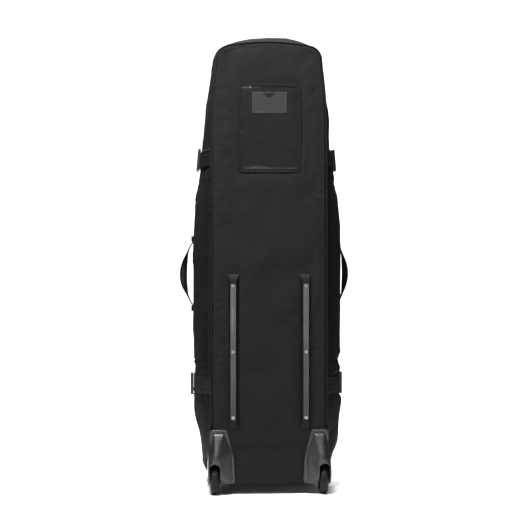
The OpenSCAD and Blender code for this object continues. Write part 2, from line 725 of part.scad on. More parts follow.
// Two plates joined by a thin post that runs between the coils.
module slider() {
    color([0.3, 0.3, 0.31]) {
        translate([chain_low - 1.3, -slider_w / 2, -slider_l / 2]) cube([1.3, slider_w, slider_l]);
        translate([chain_high, -slider_w / 2, -slider_l / 2]) cube([1.6, slider_w, slider_l]);
        translate([chain_low - 0.5, -0.35, -slider_l / 2 + 1])
            cube([chain_high - chain_low + 1, 0.7, slider_l - 2]);
        bridge(chain_high + 1.6);
    }
}
slider_z = zip_bend_height + 14;
function skin_x(z, t) = let (s = side_station(z)) s[0] + s[4] * swell(t);
module at_side(z, t) {
    translate([skin_x(z, t), back_y + t, z]) children();
}
module left_slider() { mirror([1, 0, 0]) at_side(slider_z, zip_depth) slider(); }
module right_slider() { at_side(slider_z, zip_depth) slider(); }
module left_pull() { mirror([1, 0, 0]) at_side(slider_z, zip_depth) pull(chain_high + 1.6); }
module right_pull() { at_side(slider_z, zip_depth) pull(chain_high + 1.6); }

// ---- Lid ----------------------------------------------------------------
// The lid's side wall is cut where the zip line bends: one upper hoop and two lower corners.
module lid_wall(stations) {
    steps = 4;
    n = len(stations);
    m = 2 * (steps + 1);
    points = [for (s = stations, j = [0:m - 1])
        let (q = j <= steps ? j / steps : (m - 1 - j) / steps)
        on_skin(s, lid_edge(s[1]) * (1 - q) + (case_depth - wall - gap) * q, j <= steps ? 0 : -wall)];
    walls = [for (i = [0:n - 2], j = [0:m - 1])
        let (a = i * m + j, b = i * m + (j + 1) % m) each [[a, b + m, b], [a, a + m, b + m]]];
    polyhedron(points, concat(walls, end_caps(m, n)));
}
lower_lid = concat([for (s = sides) if (s[1] > fold_low && s[1] < zip_bend_height - 1) s],
    [side_station(zip_bend_height - 0.4)]);
module lid_gusset() {
    color(fabric) {
        lid_wall(zip_run);
        both_sides() lid_wall(lower_lid);
    }
}
module lid_panel() {
    color(fabric) plate(case_depth - wall, case_depth) intersection() {
        outline(case_depth);
        translate([-300, hinge_height + 1.5]) square([600, case_height]);
    }
}
lid_piping_stations = [for (s = upper_loop) if (s[1] > hinge_height + 12) s];
module lid_piping() {
    color([0.05, 0.05, 0.05]) skin_sweep(lid_piping_stations,
        ring_profile(case_depth - 2.5, piping_r + gap, piping_r));
}
lid_pocket_z = hinge_height + 190 + lid_pocket_h / 2;
module lid_pocket() {
    color([0.12, 0.12, 0.12]) hull() {
        plate(case_depth + gap, case_depth + 2) translate([0, lid_pocket_z])
            rounded(lid_pocket_w, lid_pocket_h, 34);
        plate(case_depth + lid_pocket_t - 2, case_depth + lid_pocket_t) translate([0, lid_pocket_z])
            rounded(lid_pocket_w - 24, lid_pocket_h - 24, 24);
    }
}
// The lid pocket's zip lies across its face near the top.
pocket_zip_z = lid_pocket_z + lid_pocket_h / 2 - 46;
pocket_zip_w = lid_pocket_w - 56;
pocket_zip_t = 1.6;
module lid_pocket_zip() {
    t = case_depth + lid_pocket_t;
    color([0.04, 0.04, 0.04]) {
        for (s = [-1, 1]) {
            plate(t + gap, t + 1) translate([-pocket_zip_w / 2, pocket_zip_z + (s > 0 ? zip_gap : -zip_gap - 9)])
                square([pocket_zip_w, 9]);
            plate(t + gap, t + pocket_zip_t + 0.6)
                translate([-pocket_zip_w / 2, pocket_zip_z + (s > 0 ? zip_gap : -zip_gap - coil_w)])
                square([pocket_zip_w, coil_w]);
        }
    }
}
// A slider that rides over a surface zip: one plate, a thin post and its bridge.
module surface_plate() {
    translate([surface_high, -slider_w / 2, -slider_l / 2]) cube([1.6, slider_w, slider_l]);
    translate([0.7, -0.35, -slider_l / 2 + 1]) cube([surface_high, 0.7, slider_l - 2]);
}
lid_slider_x = -pocket_zip_w / 2 + 12;
// Turns zip hardware to face forward on the lid pocket.
module at_lid_zip() {
    translate([lid_slider_x, back_y + case_depth + lid_pocket_t, pocket_zip_z]) rotate([0, 0, 90]) children();
}
module lid_pocket_slider() {
    color([0.3, 0.3, 0.31]) at_lid_zip() {
        rotate([90, 0, 0]) surface_plate();
        bridge(surface_high + 1.6);
    }
}
module lid_pocket_pull() { at_lid_zip() pull(surface_high + 1.6); }

// ---- Side pockets -------------------------------------------------------
pocket_t0 = 30;
pocket_t1 = 126;
side_zip_t = 139;
pocket_ribs = 15;
pocket_stations = [for (i = [0:pocket_ribs])
    side_station(pocket_low + (pocket_high - pocket_low) * i / pocket_ribs)];
module side_pocket() {
    profile = concat([for (i = [0:6]) [0, pocket_t0 + (pocket_t1 - pocket_t0) * i / 6, gap + 1,
            (pocket_t - 1) * sin(180 * i / 6)]],
        [for (i = [6:-1:0]) [0, pocket_t0 + (pocket_t1 - pocket_t0) * i / 6, gap]]);
    color([0.12, 0.12, 0.125]) skin_sweep(pocket_stations, profile);
}
module left_side_pocket() { mirror([1, 0, 0]) side_pocket(); }
module right_side_pocket() { side_pocket(); }
// Each half of a surface zip: a tape with a coil along its edge.
function surface_zip(side) =
    let (t = side_zip_t, list = [[0, t + side * zip_gap, gap], [0, t + side * (zip_gap + coil_w), gap],
        [0, t + side * (zip_gap + coil_w + 0.1), gap], [0, t + side * 9, gap],
        [0, t + side * 9, 1], [0, t + side * (zip_gap + coil_w + 0.1), 1],
        [0, t + side * (zip_gap + coil_w), 2.2], [0, t + side * zip_gap, 2.2]])
    side < 0 ? list : back_to_front(list);
module side_pocket_zips() {
    color([0.04, 0.04, 0.04]) both_sides() for (side = [-1, 1])
        skin_sweep(pocket_stations, surface_zip(side));
}
pocket_slider_z = 672;
module pocket_slider() {
    color([0.3, 0.3, 0.31]) at_side(pocket_slider_z, side_zip_t) {
        surface_plate();
        translate([surface_high + 1.4, -2.5, -30]) cube([1.4, 5, 33]);
    }
}
module left_pocket_slider() { mirror([1, 0, 0]) pocket_slider(); }
module right_pocket_slider() { pocket_slider(); }

// ---- Handles ------------------------------------------------------------
// A strap swept along a list of [out, along, half width] rows; out is local x,
// along is local z and the width lies on local y.
module ribbon(rows, th) {
    n = len(rows);
    function dir(i) =
        let (a = rows[max(i - 1, 0)], b = rows[min(i + 1, n - 1)]) unit(b[0] - a[0], b[1] - a[1]);
    points = [for (i = [0:n - 1]) let (d = dir(i), r = rows[i])
        each [for (c = [[-1, -1], [1, -1], [1, 1], [-1, 1]])
            [r[0] + d[1] * c[1] * th / 2, c[0] * r[2], r[1] - d[0] * c[1] * th / 2]]];
    walls = [for (i = [0:n - 2], j = [0:3])
        let (a = i * 4 + j, b = i * 4 + (j + 1) % 4) each [[a, b, b + 4], [a, b + 4, a + 4]]];
    polyhedron(points, concat(walls, [[3, 2, 1, 0], [for (j = [0:3]) (n - 1) * 4 + j]]));
}
pin_r = 2;
pin_fit = 0.08;
handle_t = 3;
handle_depth = 168;
handle_stand = 5.4;
handle_rows = [for (i = [0:18]) let (q = i / 18, s = sin(180 * q), out = handle_rise * pow(s, 0.8))
    [out, (q - 0.5) * handle_span, 4 + (handle_w / 2 - 4) * min(max((out - 12) / 10, 0), 1)]];
handle_x = skin_x(handle_z, handle_depth) + handle_stand;
module side_handle() {
    color([0.05, 0.05, 0.05]) translate([handle_x, back_y + handle_depth, handle_z])
        rotate([0, 0, handle_rest]) {
            ribbon(handle_rows, handle_t);
            for (s = [-1, 1]) translate([0, 0, s * (handle_span / 2 + 5)])
                cylinder(r = pin_r, h = 20, center = true);
        }
}
module left_handle() { mirror([1, 0, 0]) side_handle(); }
module right_handle() { side_handle(); }
// Stitched-down blocks that hold the side handles' pins.
module handle_patches() {
    color([0.05, 0.05, 0.05]) both_sides() for (s = [-1, 1]) difference() {
        union() {
            translate([handle_x - handle_stand + 0.9, back_y + handle_depth - 7,
                       handle_z + s * (handle_span / 2 + 11) - 8])
                cube([handle_stand + 3.4, 14, 16]);
            skin_sweep([for (i = [-1:1]) side_station(handle_z + s * (handle_span / 2 + 15) + i * 14)],
                wall_profile(handle_depth - 16, handle_depth + 16, 1.3, 1.1, 4));
        }
        translate([handle_x, back_y + handle_depth, handle_z + s * (handle_span / 2 + 11)])
            cylinder(r = pin_r + pin_fit, h = 40, center = true);
    }
}
haul_half = 62;
haul_out = 6;
haul_z = back_top - 118;
haul_rows = [for (i = [0:14]) let (q = i / 14)
    [46 * pow(sin(180 * q), 0.7), (q - 0.5) * 2 * haul_half, 1.6]];
module haul_handle() {
    color([0.05, 0.05, 0.05]) translate([0, back_y + case_depth + haul_out, haul_z]) {
        rotate([0, 90, 0]) ribbon(haul_rows, 14);
        for (s = [-1, 1]) translate([s * (haul_half + 9), 0, 0]) rotate([0, 90, 0])
            cylinder(r = pin_r, h = 26, center = true);
    }
}
// Blocks on the lid that hold the haul handle's pins.
module lid_patches() {
    color([0.05, 0.05, 0.05]) both_sides() difference() {
        union() {
            plate(case_depth + gap, case_depth + haul_out + 3.4)
                translate([haul_half + 8.5, haul_z - 7]) square([16, 14]);
            plate(case_depth + gap, case_depth + 1.4)
                translate([haul_half + 8.5, haul_z - 16]) square([30, 32]);
        }
        translate([haul_half + 16, back_y + case_depth + haul_out, haul_z]) rotate([0, 90, 0])
            cylinder(r = pin_r + pin_fit, h = 60, center = true);
    }
}

// ---- Inside -------------------------------------------------------------
module inner_straps() {
    low = wall + board_t + gap;
    color([0.07, 0.07, 0.07]) for (p = [[rail_screw_places[1] + 60, low], [upper_strap_z - 30, wall + gap]]) {
        plate(p[1], p[1] + web_t) translate([-138, p[0] - 19]) square([276, 38]);
        plate(p[1] + web_t + gap, p[1] + web_t + 9) translate([-24, p[0] - 24]) difference() {
            square([48, 48]);
            translate([5, 3]) square([4, 42]);
            translate([39, 3]) square([4, 42]);
        }
    }
}

back_panel();
inner_boards();
back_piping();
left_gusset();
right_gusset();
top_gusset();
base_panel();
front_skirt();
crown_pad();
base_wrap();
window_binding();
window_sheet();
card_pocket();
left_skid_rail();
right_skid_rail();
rail_screws();
rail_nuts();
left_wheel_housing();
right_wheel_housing();
base_screws();
axle_bolts();
axle_spacers();
front_feet();
handle_patches();
left_webbing();
right_webbing();
buckle_sockets();
body_zip();
inner_straps();
left_side_pocket();
right_side_pocket();
side_pocket_zips();
lid_panel();
lid_gusset();
lid_piping();
lid_zip();
lid_pocket();
lid_pocket_zip();
lid_patches();
left_tyre();
left_hub();
left_bearings();
right_tyre();
right_hub();
right_bearings();
left_upper_plug();
left_lower_plug();
right_upper_plug();
right_lower_plug();
left_slider();
left_pull();
right_slider();
right_pull();
left_pocket_slider();
right_pocket_slider();
lid_pocket_slider();
lid_pocket_pull();
left_handle();
right_handle();
haul_handle();
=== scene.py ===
"""Padded golf travel case: woven shell, zipped lid, skid rails, wheels, pockets, straps and handles.

Laid out as an add-on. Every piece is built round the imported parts, in their frame: +Z up,
-Y the wheeled back, +X the right as seen from the back. Sizes are in metres.
"""
import math

import bpy
import numpy as np
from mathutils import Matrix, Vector


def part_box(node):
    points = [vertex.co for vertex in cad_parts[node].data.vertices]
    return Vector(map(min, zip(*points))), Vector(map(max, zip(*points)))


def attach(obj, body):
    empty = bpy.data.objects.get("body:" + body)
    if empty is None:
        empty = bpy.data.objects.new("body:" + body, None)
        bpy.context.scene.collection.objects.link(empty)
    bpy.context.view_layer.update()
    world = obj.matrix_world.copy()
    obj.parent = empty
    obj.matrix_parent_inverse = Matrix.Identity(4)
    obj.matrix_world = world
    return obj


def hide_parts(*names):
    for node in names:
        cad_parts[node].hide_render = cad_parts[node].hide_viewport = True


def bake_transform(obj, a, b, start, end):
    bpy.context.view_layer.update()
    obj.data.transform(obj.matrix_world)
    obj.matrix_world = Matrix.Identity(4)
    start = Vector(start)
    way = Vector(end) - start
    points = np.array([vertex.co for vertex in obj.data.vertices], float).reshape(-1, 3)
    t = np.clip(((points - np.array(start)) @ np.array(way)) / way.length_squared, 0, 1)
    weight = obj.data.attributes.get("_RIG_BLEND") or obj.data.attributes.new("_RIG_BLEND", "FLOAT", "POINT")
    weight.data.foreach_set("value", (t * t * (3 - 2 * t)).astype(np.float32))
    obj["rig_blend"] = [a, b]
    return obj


bl_info = {
    "name": "Golf Travel Case",
    "version": (1, 0, 0),
    "blender": (4, 5, 0),
    "location": "View3D > Sidebar > Travel Case",
    "description": "Builds a padded golf travel case piece by piece",
    "category": "Object",
}

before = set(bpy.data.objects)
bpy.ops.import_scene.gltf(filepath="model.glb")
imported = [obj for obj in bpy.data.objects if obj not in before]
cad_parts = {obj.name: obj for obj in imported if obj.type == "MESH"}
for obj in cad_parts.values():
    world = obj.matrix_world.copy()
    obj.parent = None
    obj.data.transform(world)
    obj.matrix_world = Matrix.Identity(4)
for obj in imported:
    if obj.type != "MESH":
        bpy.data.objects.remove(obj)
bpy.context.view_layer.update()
MM = 0.001


def low(node):
    return Vector(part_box(node)[0])


def high(node):
    return Vector(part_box(node)[1])


BACK_Y = low("back_panel").y
FRONT_Y = high("lid_panel").y


# ---- Colours and materials ----------------------------------------------------------------

def linear(code):
    """sRGB hex to a linear colour with alpha 1."""
    parts = [int(code[i:i + 2], 16) / 255 for i in (0, 2, 4)]
    return [p / 12.92 if p <= 0.04045 else ((p + 0.055) / 1.055) ** 2.4 for p in parts] + [1.0]


def add(tree, kind, inputs=(), **settings):
    """Adds a node with its settings; inputs are (socket, value or output socket) pairs."""
    node = tree.nodes.new(kind)
    for name, value in settings.items():
        setattr(node, name, value)
    for socket, value in inputs:
        if isinstance(value, bpy.types.NodeSocket):
            tree.links.new(value, node.inputs[socket])
        else:
            node.inputs[socket].default_value = value
    return node


def math_node(tree, operation, a, b=0.0):
    return add(tree, "ShaderNodeMath", [(0, a), (1, b)], operation=operation).outputs[0]


MATERIALS = {}


def shade(name, colour, roughness, build=None, **sockets):
    """A Principled material. build(tree) returns colour, roughness and height sockets or None."""
    if name in MATERIALS:
        return MATERIALS[name]
    material = bpy.data.materials.new(name)
    material.use_nodes = True
    tree = material.node_tree
    shader = tree.nodes["Principled BSDF"]
    shader.inputs["Base Color"].default_value = colour
    shader.inputs["Roughness"].default_value = roughness
    for socket, value in sockets.items():
        shader.inputs[socket.replace("_", " ")].default_value = value
    if build:
        made = build(tree)
        for socket in ("Base Color", "Roughness", "Alpha"):
            if made.get(socket) is not None:
                tree.links.new(made[socket], shader.inputs[socket])
        if made.get("height") is not None:
            bump = add(tree, "ShaderNodeBump", [("Height", made["height"]), ("Distance", made["distance"]),
                                                 ("Strength", made.get("strength", 1.0))])
            tree.links.new(bump.outputs[0], shader.inputs["Normal"])
    MATERIALS[name] = material
    return material


def uv_parts(tree):
    """The piece's own map, in metres along and across the cloth."""
    uv = add(tree, "ShaderNodeUVMap", uv_map="cloth")
    parts = add(tree, "ShaderNodeSeparateXYZ", [(0, uv.outputs[0])])
    return uv.outputs[0], parts.outputs[0], parts.outputs[1]


def noise(tree, vector, scale, detail=3.0, roughness=0.55, distortion=0.0):
    return add(tree, "ShaderNodeTexNoise", [("Vector", vector), ("Scale", scale), ("Detail", detail),
               ("Roughness", roughness), ("Distortion", distortion)]).outputs["Fac"]


def ramp(tree, value, stops):
    """A colour ramp from (position, colour) pairs."""
    node = add(tree, "ShaderNodeValToRGB", [(0, value)])
    elements = node.color_ramp.elements
    while len(elements) < len(stops):
        elements.new(0.5)
    for element, (position, colour) in zip(elements, stops):
        element.position, element.color = position, colour
    return node.outputs[0]


def tint(colour, factor):
    return [c * factor for c in colour[:3]] + [1.0]


def spread(tree, value, low_value, high_value, start=0.0, end=1.0):
    return add(tree, "ShaderNodeMapRange", [(0, value), (1, start), (2, end), (3, low_value),
               (4, high_value)]).outputs[0]


def woven(colour, pitch, contrast=0.35, slub=0.18, height=0.35):
    """Plain weave: warp and weft take turns on top, with slubs and a dusty bloom."""
    def build(tree):
        uv, along, across = uv_parts(tree)
        turn = math.pi / pitch
        warp = math_node(tree, "SINE", math_node(tree, "MULTIPLY", along, turn))
        weft = math_node(tree, "SINE", math_node(tree, "MULTIPLY", across, turn))
        over = math_node(tree, "GREATER_THAN", math_node(tree, "MULTIPLY", warp, weft), 0.0)
        lift = add(tree, "ShaderNodeMix", [(0, over), (2, math_node(tree, "ABSOLUTE", warp)),
                   (3, math_node(tree, "ABSOLUTE", weft))]).outputs[0]
        yarns = add(tree, "ShaderNodeMapping", [(0, uv), (3, (1.0, 6.0, 1.0))]).outputs[0]
        slubs = noise(tree, yarns, 160.0, 2.0)
        cloud = noise(tree, uv, 9.0, 4.0, 0.6)
        mixed = math_node(tree, "ADD", math_node(tree, "MULTIPLY", lift, contrast),
                          math_node(tree, "ADD", math_node(tree, "MULTIPLY", slubs, slub),
                                    math_node(tree, "MULTIPLY", cloud, 0.55)))
        return {
            "Base Color": ramp(tree, mixed,
                               [(0.2, tint(colour, 0.55)), (0.55, colour), (0.95, tint(colour, 1.75))]),
            "Roughness": spread(tree, cloud, 0.66, 0.86, 0.3, 0.7),
            "height": math_node(tree, "ADD", lift, math_node(tree, "MULTIPLY", slubs, 0.5)),
            "distance": height * MM,
        }
    return build


def ribbed(colour, pitch, height=0.3):
    """Flat woven webbing: ribs across the strap and a herringbone tick along it."""
    def build(tree):
        uv, along, across = uv_parts(tree)
        zigzag = math_node(tree, "PINGPONG", across, pitch * 3)
        rib = math_node(tree, "SINE", math_node(tree, "MULTIPLY", math_node(tree, "ADD", along, zigzag),
                                                2 * math.pi / pitch))
        cloud = noise(tree, uv, 30.0, 3.0)
        mixed = math_node(tree, "ADD", math_node(tree, "MULTIPLY", rib, 0.2), cloud)
        return {
            "Base Color": ramp(tree, mixed,
                               [(0.25, tint(colour, 0.6)), (0.6, colour), (0.9, tint(colour, 1.35))]),
            "Roughness": spread(tree, cloud, 0.5, 0.7, 0.3, 0.7),
            "height": rib,
            "distance": height * MM,
        }
    return build


def moulded(colour, grain, height, gloss=(0.3, 0.5), wear=None, wear_axis=(1.0, 1.0, 1.0)):
    """Moulded plastic or rubber with a spark-eroded grain, and scuffs where it is used."""
    def build(tree):
        place = add(tree, "ShaderNodeTexCoord").outputs["Object"]
        cells = add(tree, "ShaderNodeTexVoronoi", [("Vector", place), ("Scale", 1 / grain)],
                    feature="SMOOTH_F1").outputs["Distance"]
        fine = noise(tree, place, 0.6 / grain, 4.0)
        broad = noise(tree, place, 22.0, 4.0, 0.6)
        made = {
            "Roughness": spread(tree, broad, gloss[0], gloss[1], 0.35, 0.7),
            "height": math_node(tree, "ADD", cells, fine),
            "distance": height * MM,
        }
        shades = ramp(tree, broad, [(0.3, tint(colour, 0.75)), (0.6, colour), (0.85, tint(colour, 1.35))])
        if wear:
            streaks = add(tree, "ShaderNodeMapping", [(0, place), (3, wear_axis)]).outputs[0]
            scratch = noise(tree, streaks, 90.0, 5.0, 0.7, 0.6)
            mask = spread(tree, scratch, 0.0, 0.85, 0.55, 0.72)
            shades = add(tree, "ShaderNodeMix", [(0, mask), (6, shades), (7, wear)],
                         data_type="RGBA").outputs[2]
        made["Base Color"] = shades
        return made
    return build


# Painted shade: tone of the side cloth and of the rail's lower end, each as a share of its full colour.
SIDE_SHADE_TONE = 0.62
RAIL_SHADE_TONE = 0.10
# Heights between which the rail's painted shade fades out going up, in metres.
RAIL_SHADE_LOW, RAIL_SHADE_HIGH = 0.22, 0.60


def painted_shade_low(build_under, z_low, z_high, colour):
    """The finish with another colour laid over it towards its lower end, as painted shade."""
    def build(tree):
        made = build_under(tree)
        place = add(tree, "ShaderNodeTexCoord").outputs["Object"]
        height = add(tree, "ShaderNodeSeparateXYZ", [(0, place)]).outputs[2]
        shade_amount = spread(tree, height, 0.85, 0.0, z_low, z_high)
        made["Base Color"] = add(tree, "ShaderNodeMix", [(0, shade_amount), (6, made["Base Color"]), (7, colour)],
                                 data_type="RGBA").outputs[2]
        return made
    return build


def metal(colour, brush=(1.0, 1.0, 14.0), height=0.05):
    def build(tree):
        place = add(tree, "ShaderNodeTexCoord").outputs["Object"]
        lines = add(tree, "ShaderNodeMapping", [(0, place), (3, brush)]).outputs[0]
        marks = noise(tree, lines, 220.0, 4.0, 0.7)
        broad = noise(tree, place, 60.0, 3.0)
        return {
            "Base Color": ramp(tree, broad, [(0.3, tint(colour, 0.7)), (0.7, colour)]),
            "Roughness": spread(tree, marks, 0.25, 0.5, 0.3, 0.7),
            "height": marks,
            "distance": height * MM,
        }
    return build


def finish_of(name):
    """The material of a named finish, made when first asked for."""
    p = bpy.context.scene.case_colours
    shell, lining, web = list(p.shell) + [1.0], list(p.lining) + [1.0], list(p.webbing) + [1.0]
    grey, black, tyre = list(p.rail) + [1.0], list(p.moulding) + [1.0], list(p.tyre) + [1.0]
    pale_scuff = tint(grey, 1.9)
    made = {
        # Yarn is 0.5 mm apart; drawn at 1.5 mm so the weave can be seen.
        "polyester_600d_weave": lambda n: shade(n, shell, 0.78, woven(shell, 1.5 * MM), Sheen_Weight=0.02,
                                                Sheen_Roughness=0.5, Specular_IOR_Level=0.12),
        # Side wall cloth: the back's weave, drawn darker as painted shade.
        "polyester_side_weave": lambda n: shade(n, tint(shell, SIDE_SHADE_TONE), 0.8,
                                                woven(tint(shell, SIDE_SHADE_TONE), 1.5 * MM),
                                                Sheen_Weight=0.01, Sheen_Roughness=0.5,
                                                Specular_IOR_Level=0.08),
        # Ballistic cloth has thicker yarn in a coarser basket, drawn at 2.4 mm.
        "ballistic_nylon_weave": lambda n: shade(n, tint(shell, 0.9), 0.7,
                                                 woven(tint(shell, 0.9), 2.4 * MM, 0.5, 0.2, 0.6),
                                                 Sheen_Weight=0.02, Specular_IOR_Level=0.12),
        # Coated nylon lining: thin, close weave with a soft shine.
        "coated_nylon_lining": lambda n: shade(n, lining, 0.5, woven(lining, 1.1 * MM, 0.2, 0.1, 0.2),
                                               Specular_IOR_Level=0.3),
        # Bound piping: tight ribbed tape, a little shinier than the panels.
        "grosgrain_binding": lambda n: shade(n, tint(web, 0.8), 0.55, ribbed(tint(web, 0.8), 1.6 * MM, 0.2),
                                             Specular_IOR_Level=0.15),
        # Polypropylene webbing: flat ribs with a plastic shine on their crests.
        "polypropylene_webbing": lambda n: shade(n, web, 0.6, ribbed(web, 2.2 * MM, 0.35),
                                                 Specular_IOR_Level=0.15),
        "bonded_nylon_thread": lambda n: shade(n, tint(web, 1.7), 0.5, metal(tint(web, 1.7), (1, 1, 1), 0.05),
                                             Specular_IOR_Level=0.2),
        # Spiral coil zip: extruded nylon, smooth and bright on its crests.
        "nylon_zip_coil": lambda n: shade(n, tint(web, 0.9), 0.6,
                                          moulded(tint(web, 0.9), 1.0 * MM, 0.04, (0.55, 0.7)),
                                        Specular_IOR_Level=0.2),
        "zip_tape_twill": lambda n: shade(n, tint(web, 0.7), 0.7, ribbed(tint(web, 0.7), 1.4 * MM, 0.15)),
        # Injection-moulded ABS with a leather-like grain: broad soft highlights.
        "grained_abs": lambda n: shade(n, black, 0.4, moulded(black, 1.7 * MM, 0.16, (0.3, 0.46)),
                                       Coat_Weight=0.15, Coat_Roughness=0.25),
        # Nylon buckles: satin moulding.
        "satin_nylon": lambda n: shade(n, tint(black, 0.8), 0.42, moulded(tint(black, 0.8), 1.2 * MM, 0.05)),
        # HDPE skid rail, pebbled and scratched along its length, with painted shade darkening it towards its lower
        # end.
        "pebbled_hdpe": lambda n: shade(
            n, grey, 0.5,
            painted_shade_low(moulded(grey, 2.6 * MM, 0.3, (0.4, 0.6), pale_scuff, (1.0, 1.0, 0.08)),
                   RAIL_SHADE_LOW, RAIL_SHADE_HIGH, tint(grey, RAIL_SHADE_TONE))),
        # Rail flanks: the same plastic, drawn darker than the crest as painted shade, and without scratches.
        "unworn_hdpe": lambda n: shade(n, tint(black, 0.55), 0.6,
                                       moulded(tint(black, 0.3), 2.6 * MM, 0.2, (0.5, 0.7)),
                                        Specular_IOR_Level=0.15),
        # Cast urethane tyre: dull, with a dusty tread.
        "cast_urethane": lambda n: shade(n, tyre, 0.6, moulded(tyre, 1.8 * MM, 0.2, (0.5, 0.75),
                                                               tint(tyre, 1.9), (0.5, 1.0, 1.0)),
                                         Specular_IOR_Level=0.2),
        "zinc_plated_steel": lambda n: shade(n, linear("a2a4a6"), 0.4, metal(linear("a2a4a6")), Metallic=1.0),
        "ground_bearing_steel": lambda n: shade(n, linear("b4b6b8"), 0.25,
                                                metal(linear("b4b6b8"), (14, 1, 1)),
                                                Metallic=1.0),
        # Die-cast zinc sliders under black lacquer, worn bright in places.
        "lacquered_zinc": lambda n: shade(n, linear("1d1d1f"), 0.35,
                                          moulded(linear("1d1d1f"), 2.0 * MM, 0.04, (0.22, 0.4),
                                                  linear("5a5a5c")), Metallic=0.6),
        # Ribbed polypropylene stiffening board.
        "ribbed_pp_board": lambda n: shade(n, linear("2b2b2d"), 0.55,
                                           moulded(linear("2b2b2d"), 2.0 * MM, 0.1)),
    }
    return made[name](name)


def clear_sheet(name, colour, alpha, roughness, wobble):
    """Flexible clear vinyl: see-through, with a wavy gloss that breaks up highlights."""
    def build(tree):
        place = add(tree, "ShaderNodeTexCoord").outputs["Object"]
        waves = noise(tree, place, 14.0, 2.0)
        haze = noise(tree, place, 45.0, 4.0)
        return {"height": waves, "distance": wobble * MM,
                "Roughness": spread(tree, haze, roughness, roughness + 0.12, 0.4, 0.75)}
    return shade(name, colour, roughness, build, Alpha=alpha, IOR=1.5, Specular_IOR_Level=0.9,
                 Coat_Weight=0.4,
                 Coat_Roughness=0.05)


# ---- Sizes ----------------------------------------------------------------------------------

def size(name, description, default, **rest):
    return bpy.props.FloatProperty(name=name, description=description, default=default, unit="LENGTH",
                                   precision=4, **rest)


class CaseSizes(bpy.types.PropertyGroup):
    half_back: size("Half back width", "From the centre to the back panel's edge", high("back_panel").x)
    bulge: size("Side bulge", "How far the side walls swell past the back panel",
                high("right_gusset").x - high("back_panel").x)
    depth: size("Depth", "From the back panel to the lid's face", FRONT_Y - BACK_Y)
    base: size("Base height", "Height of the base above the floor", low("back_panel").z)
    back_top: size("Back panel top", "Height of the back panel's top edge", high("back_panel").z)
    crown: size("Crown rise", "Rise of the crown over the back panel", 0.037)
    arch: size("Arch", "Arch of the back panel's top edge", 0.011)
    top_radius: size("Top corner radius", "Radius of the top corners", 0.036)
    base_radius: size("Base corner radius", "Radius of the bottom corners", 0.055)
    wall: size("Wall", "Thickness of a padded wall", 0.006)
    zip_depth: size("Zip depth", "Depth of the zip line", 0.212)
    hinge: size("Hinge height", "Height of the lid's hinge line", 0.112)
    bend: size("Bend height", "Height where the zip line turns forward", 0.262)
    tape: size("Zip tape", "Width of one zip tape", 0.010)
    pucker: size("Pucker", "Height of the gathers along the seams", 0.0013)
    sag: size("Sag", "Depth of the soft dents in the walls", 0.0026)
    stitch: size("Stitch", "Length of one stitch", 0.0034)


class CaseColours(bpy.types.PropertyGroup):
    shell: bpy.props.FloatVectorProperty(name="Shell", description="Woven polyester of the walls",
                                         subtype="COLOR", size=3, default=linear("121113")[:3])
    lining: bpy.props.FloatVectorProperty(name="Lining", description="Coated nylon inside", subtype="COLOR",
                                          size=3, default=linear("4a4b4e")[:3])
    webbing: bpy.props.FloatVectorProperty(name="Webbing", description="Straps, handles and bindings",
                                           subtype="COLOR", size=3, default=linear("0c0c0d")[:3])
    rail: bpy.props.FloatVectorProperty(name="Rails", description="Pebbled skid rails", subtype="COLOR",
                                        size=3, default=linear("474749")[:3])
    moulding: bpy.props.FloatVectorProperty(name="Mouldings", description="Wheel housings and buckles",
                                            subtype="COLOR", size=3, default=linear("1c1c1e")[:3])
    tyre: bpy.props.FloatVectorProperty(name="Tyres", description="Cast urethane wheels", subtype="COLOR",
                                        size=3, default=linear("0e0e0f")[:3])


# ---- The case's surface -----------------------------------------------------------------------

PEAK = 0.42
FLAT = 11 * MM


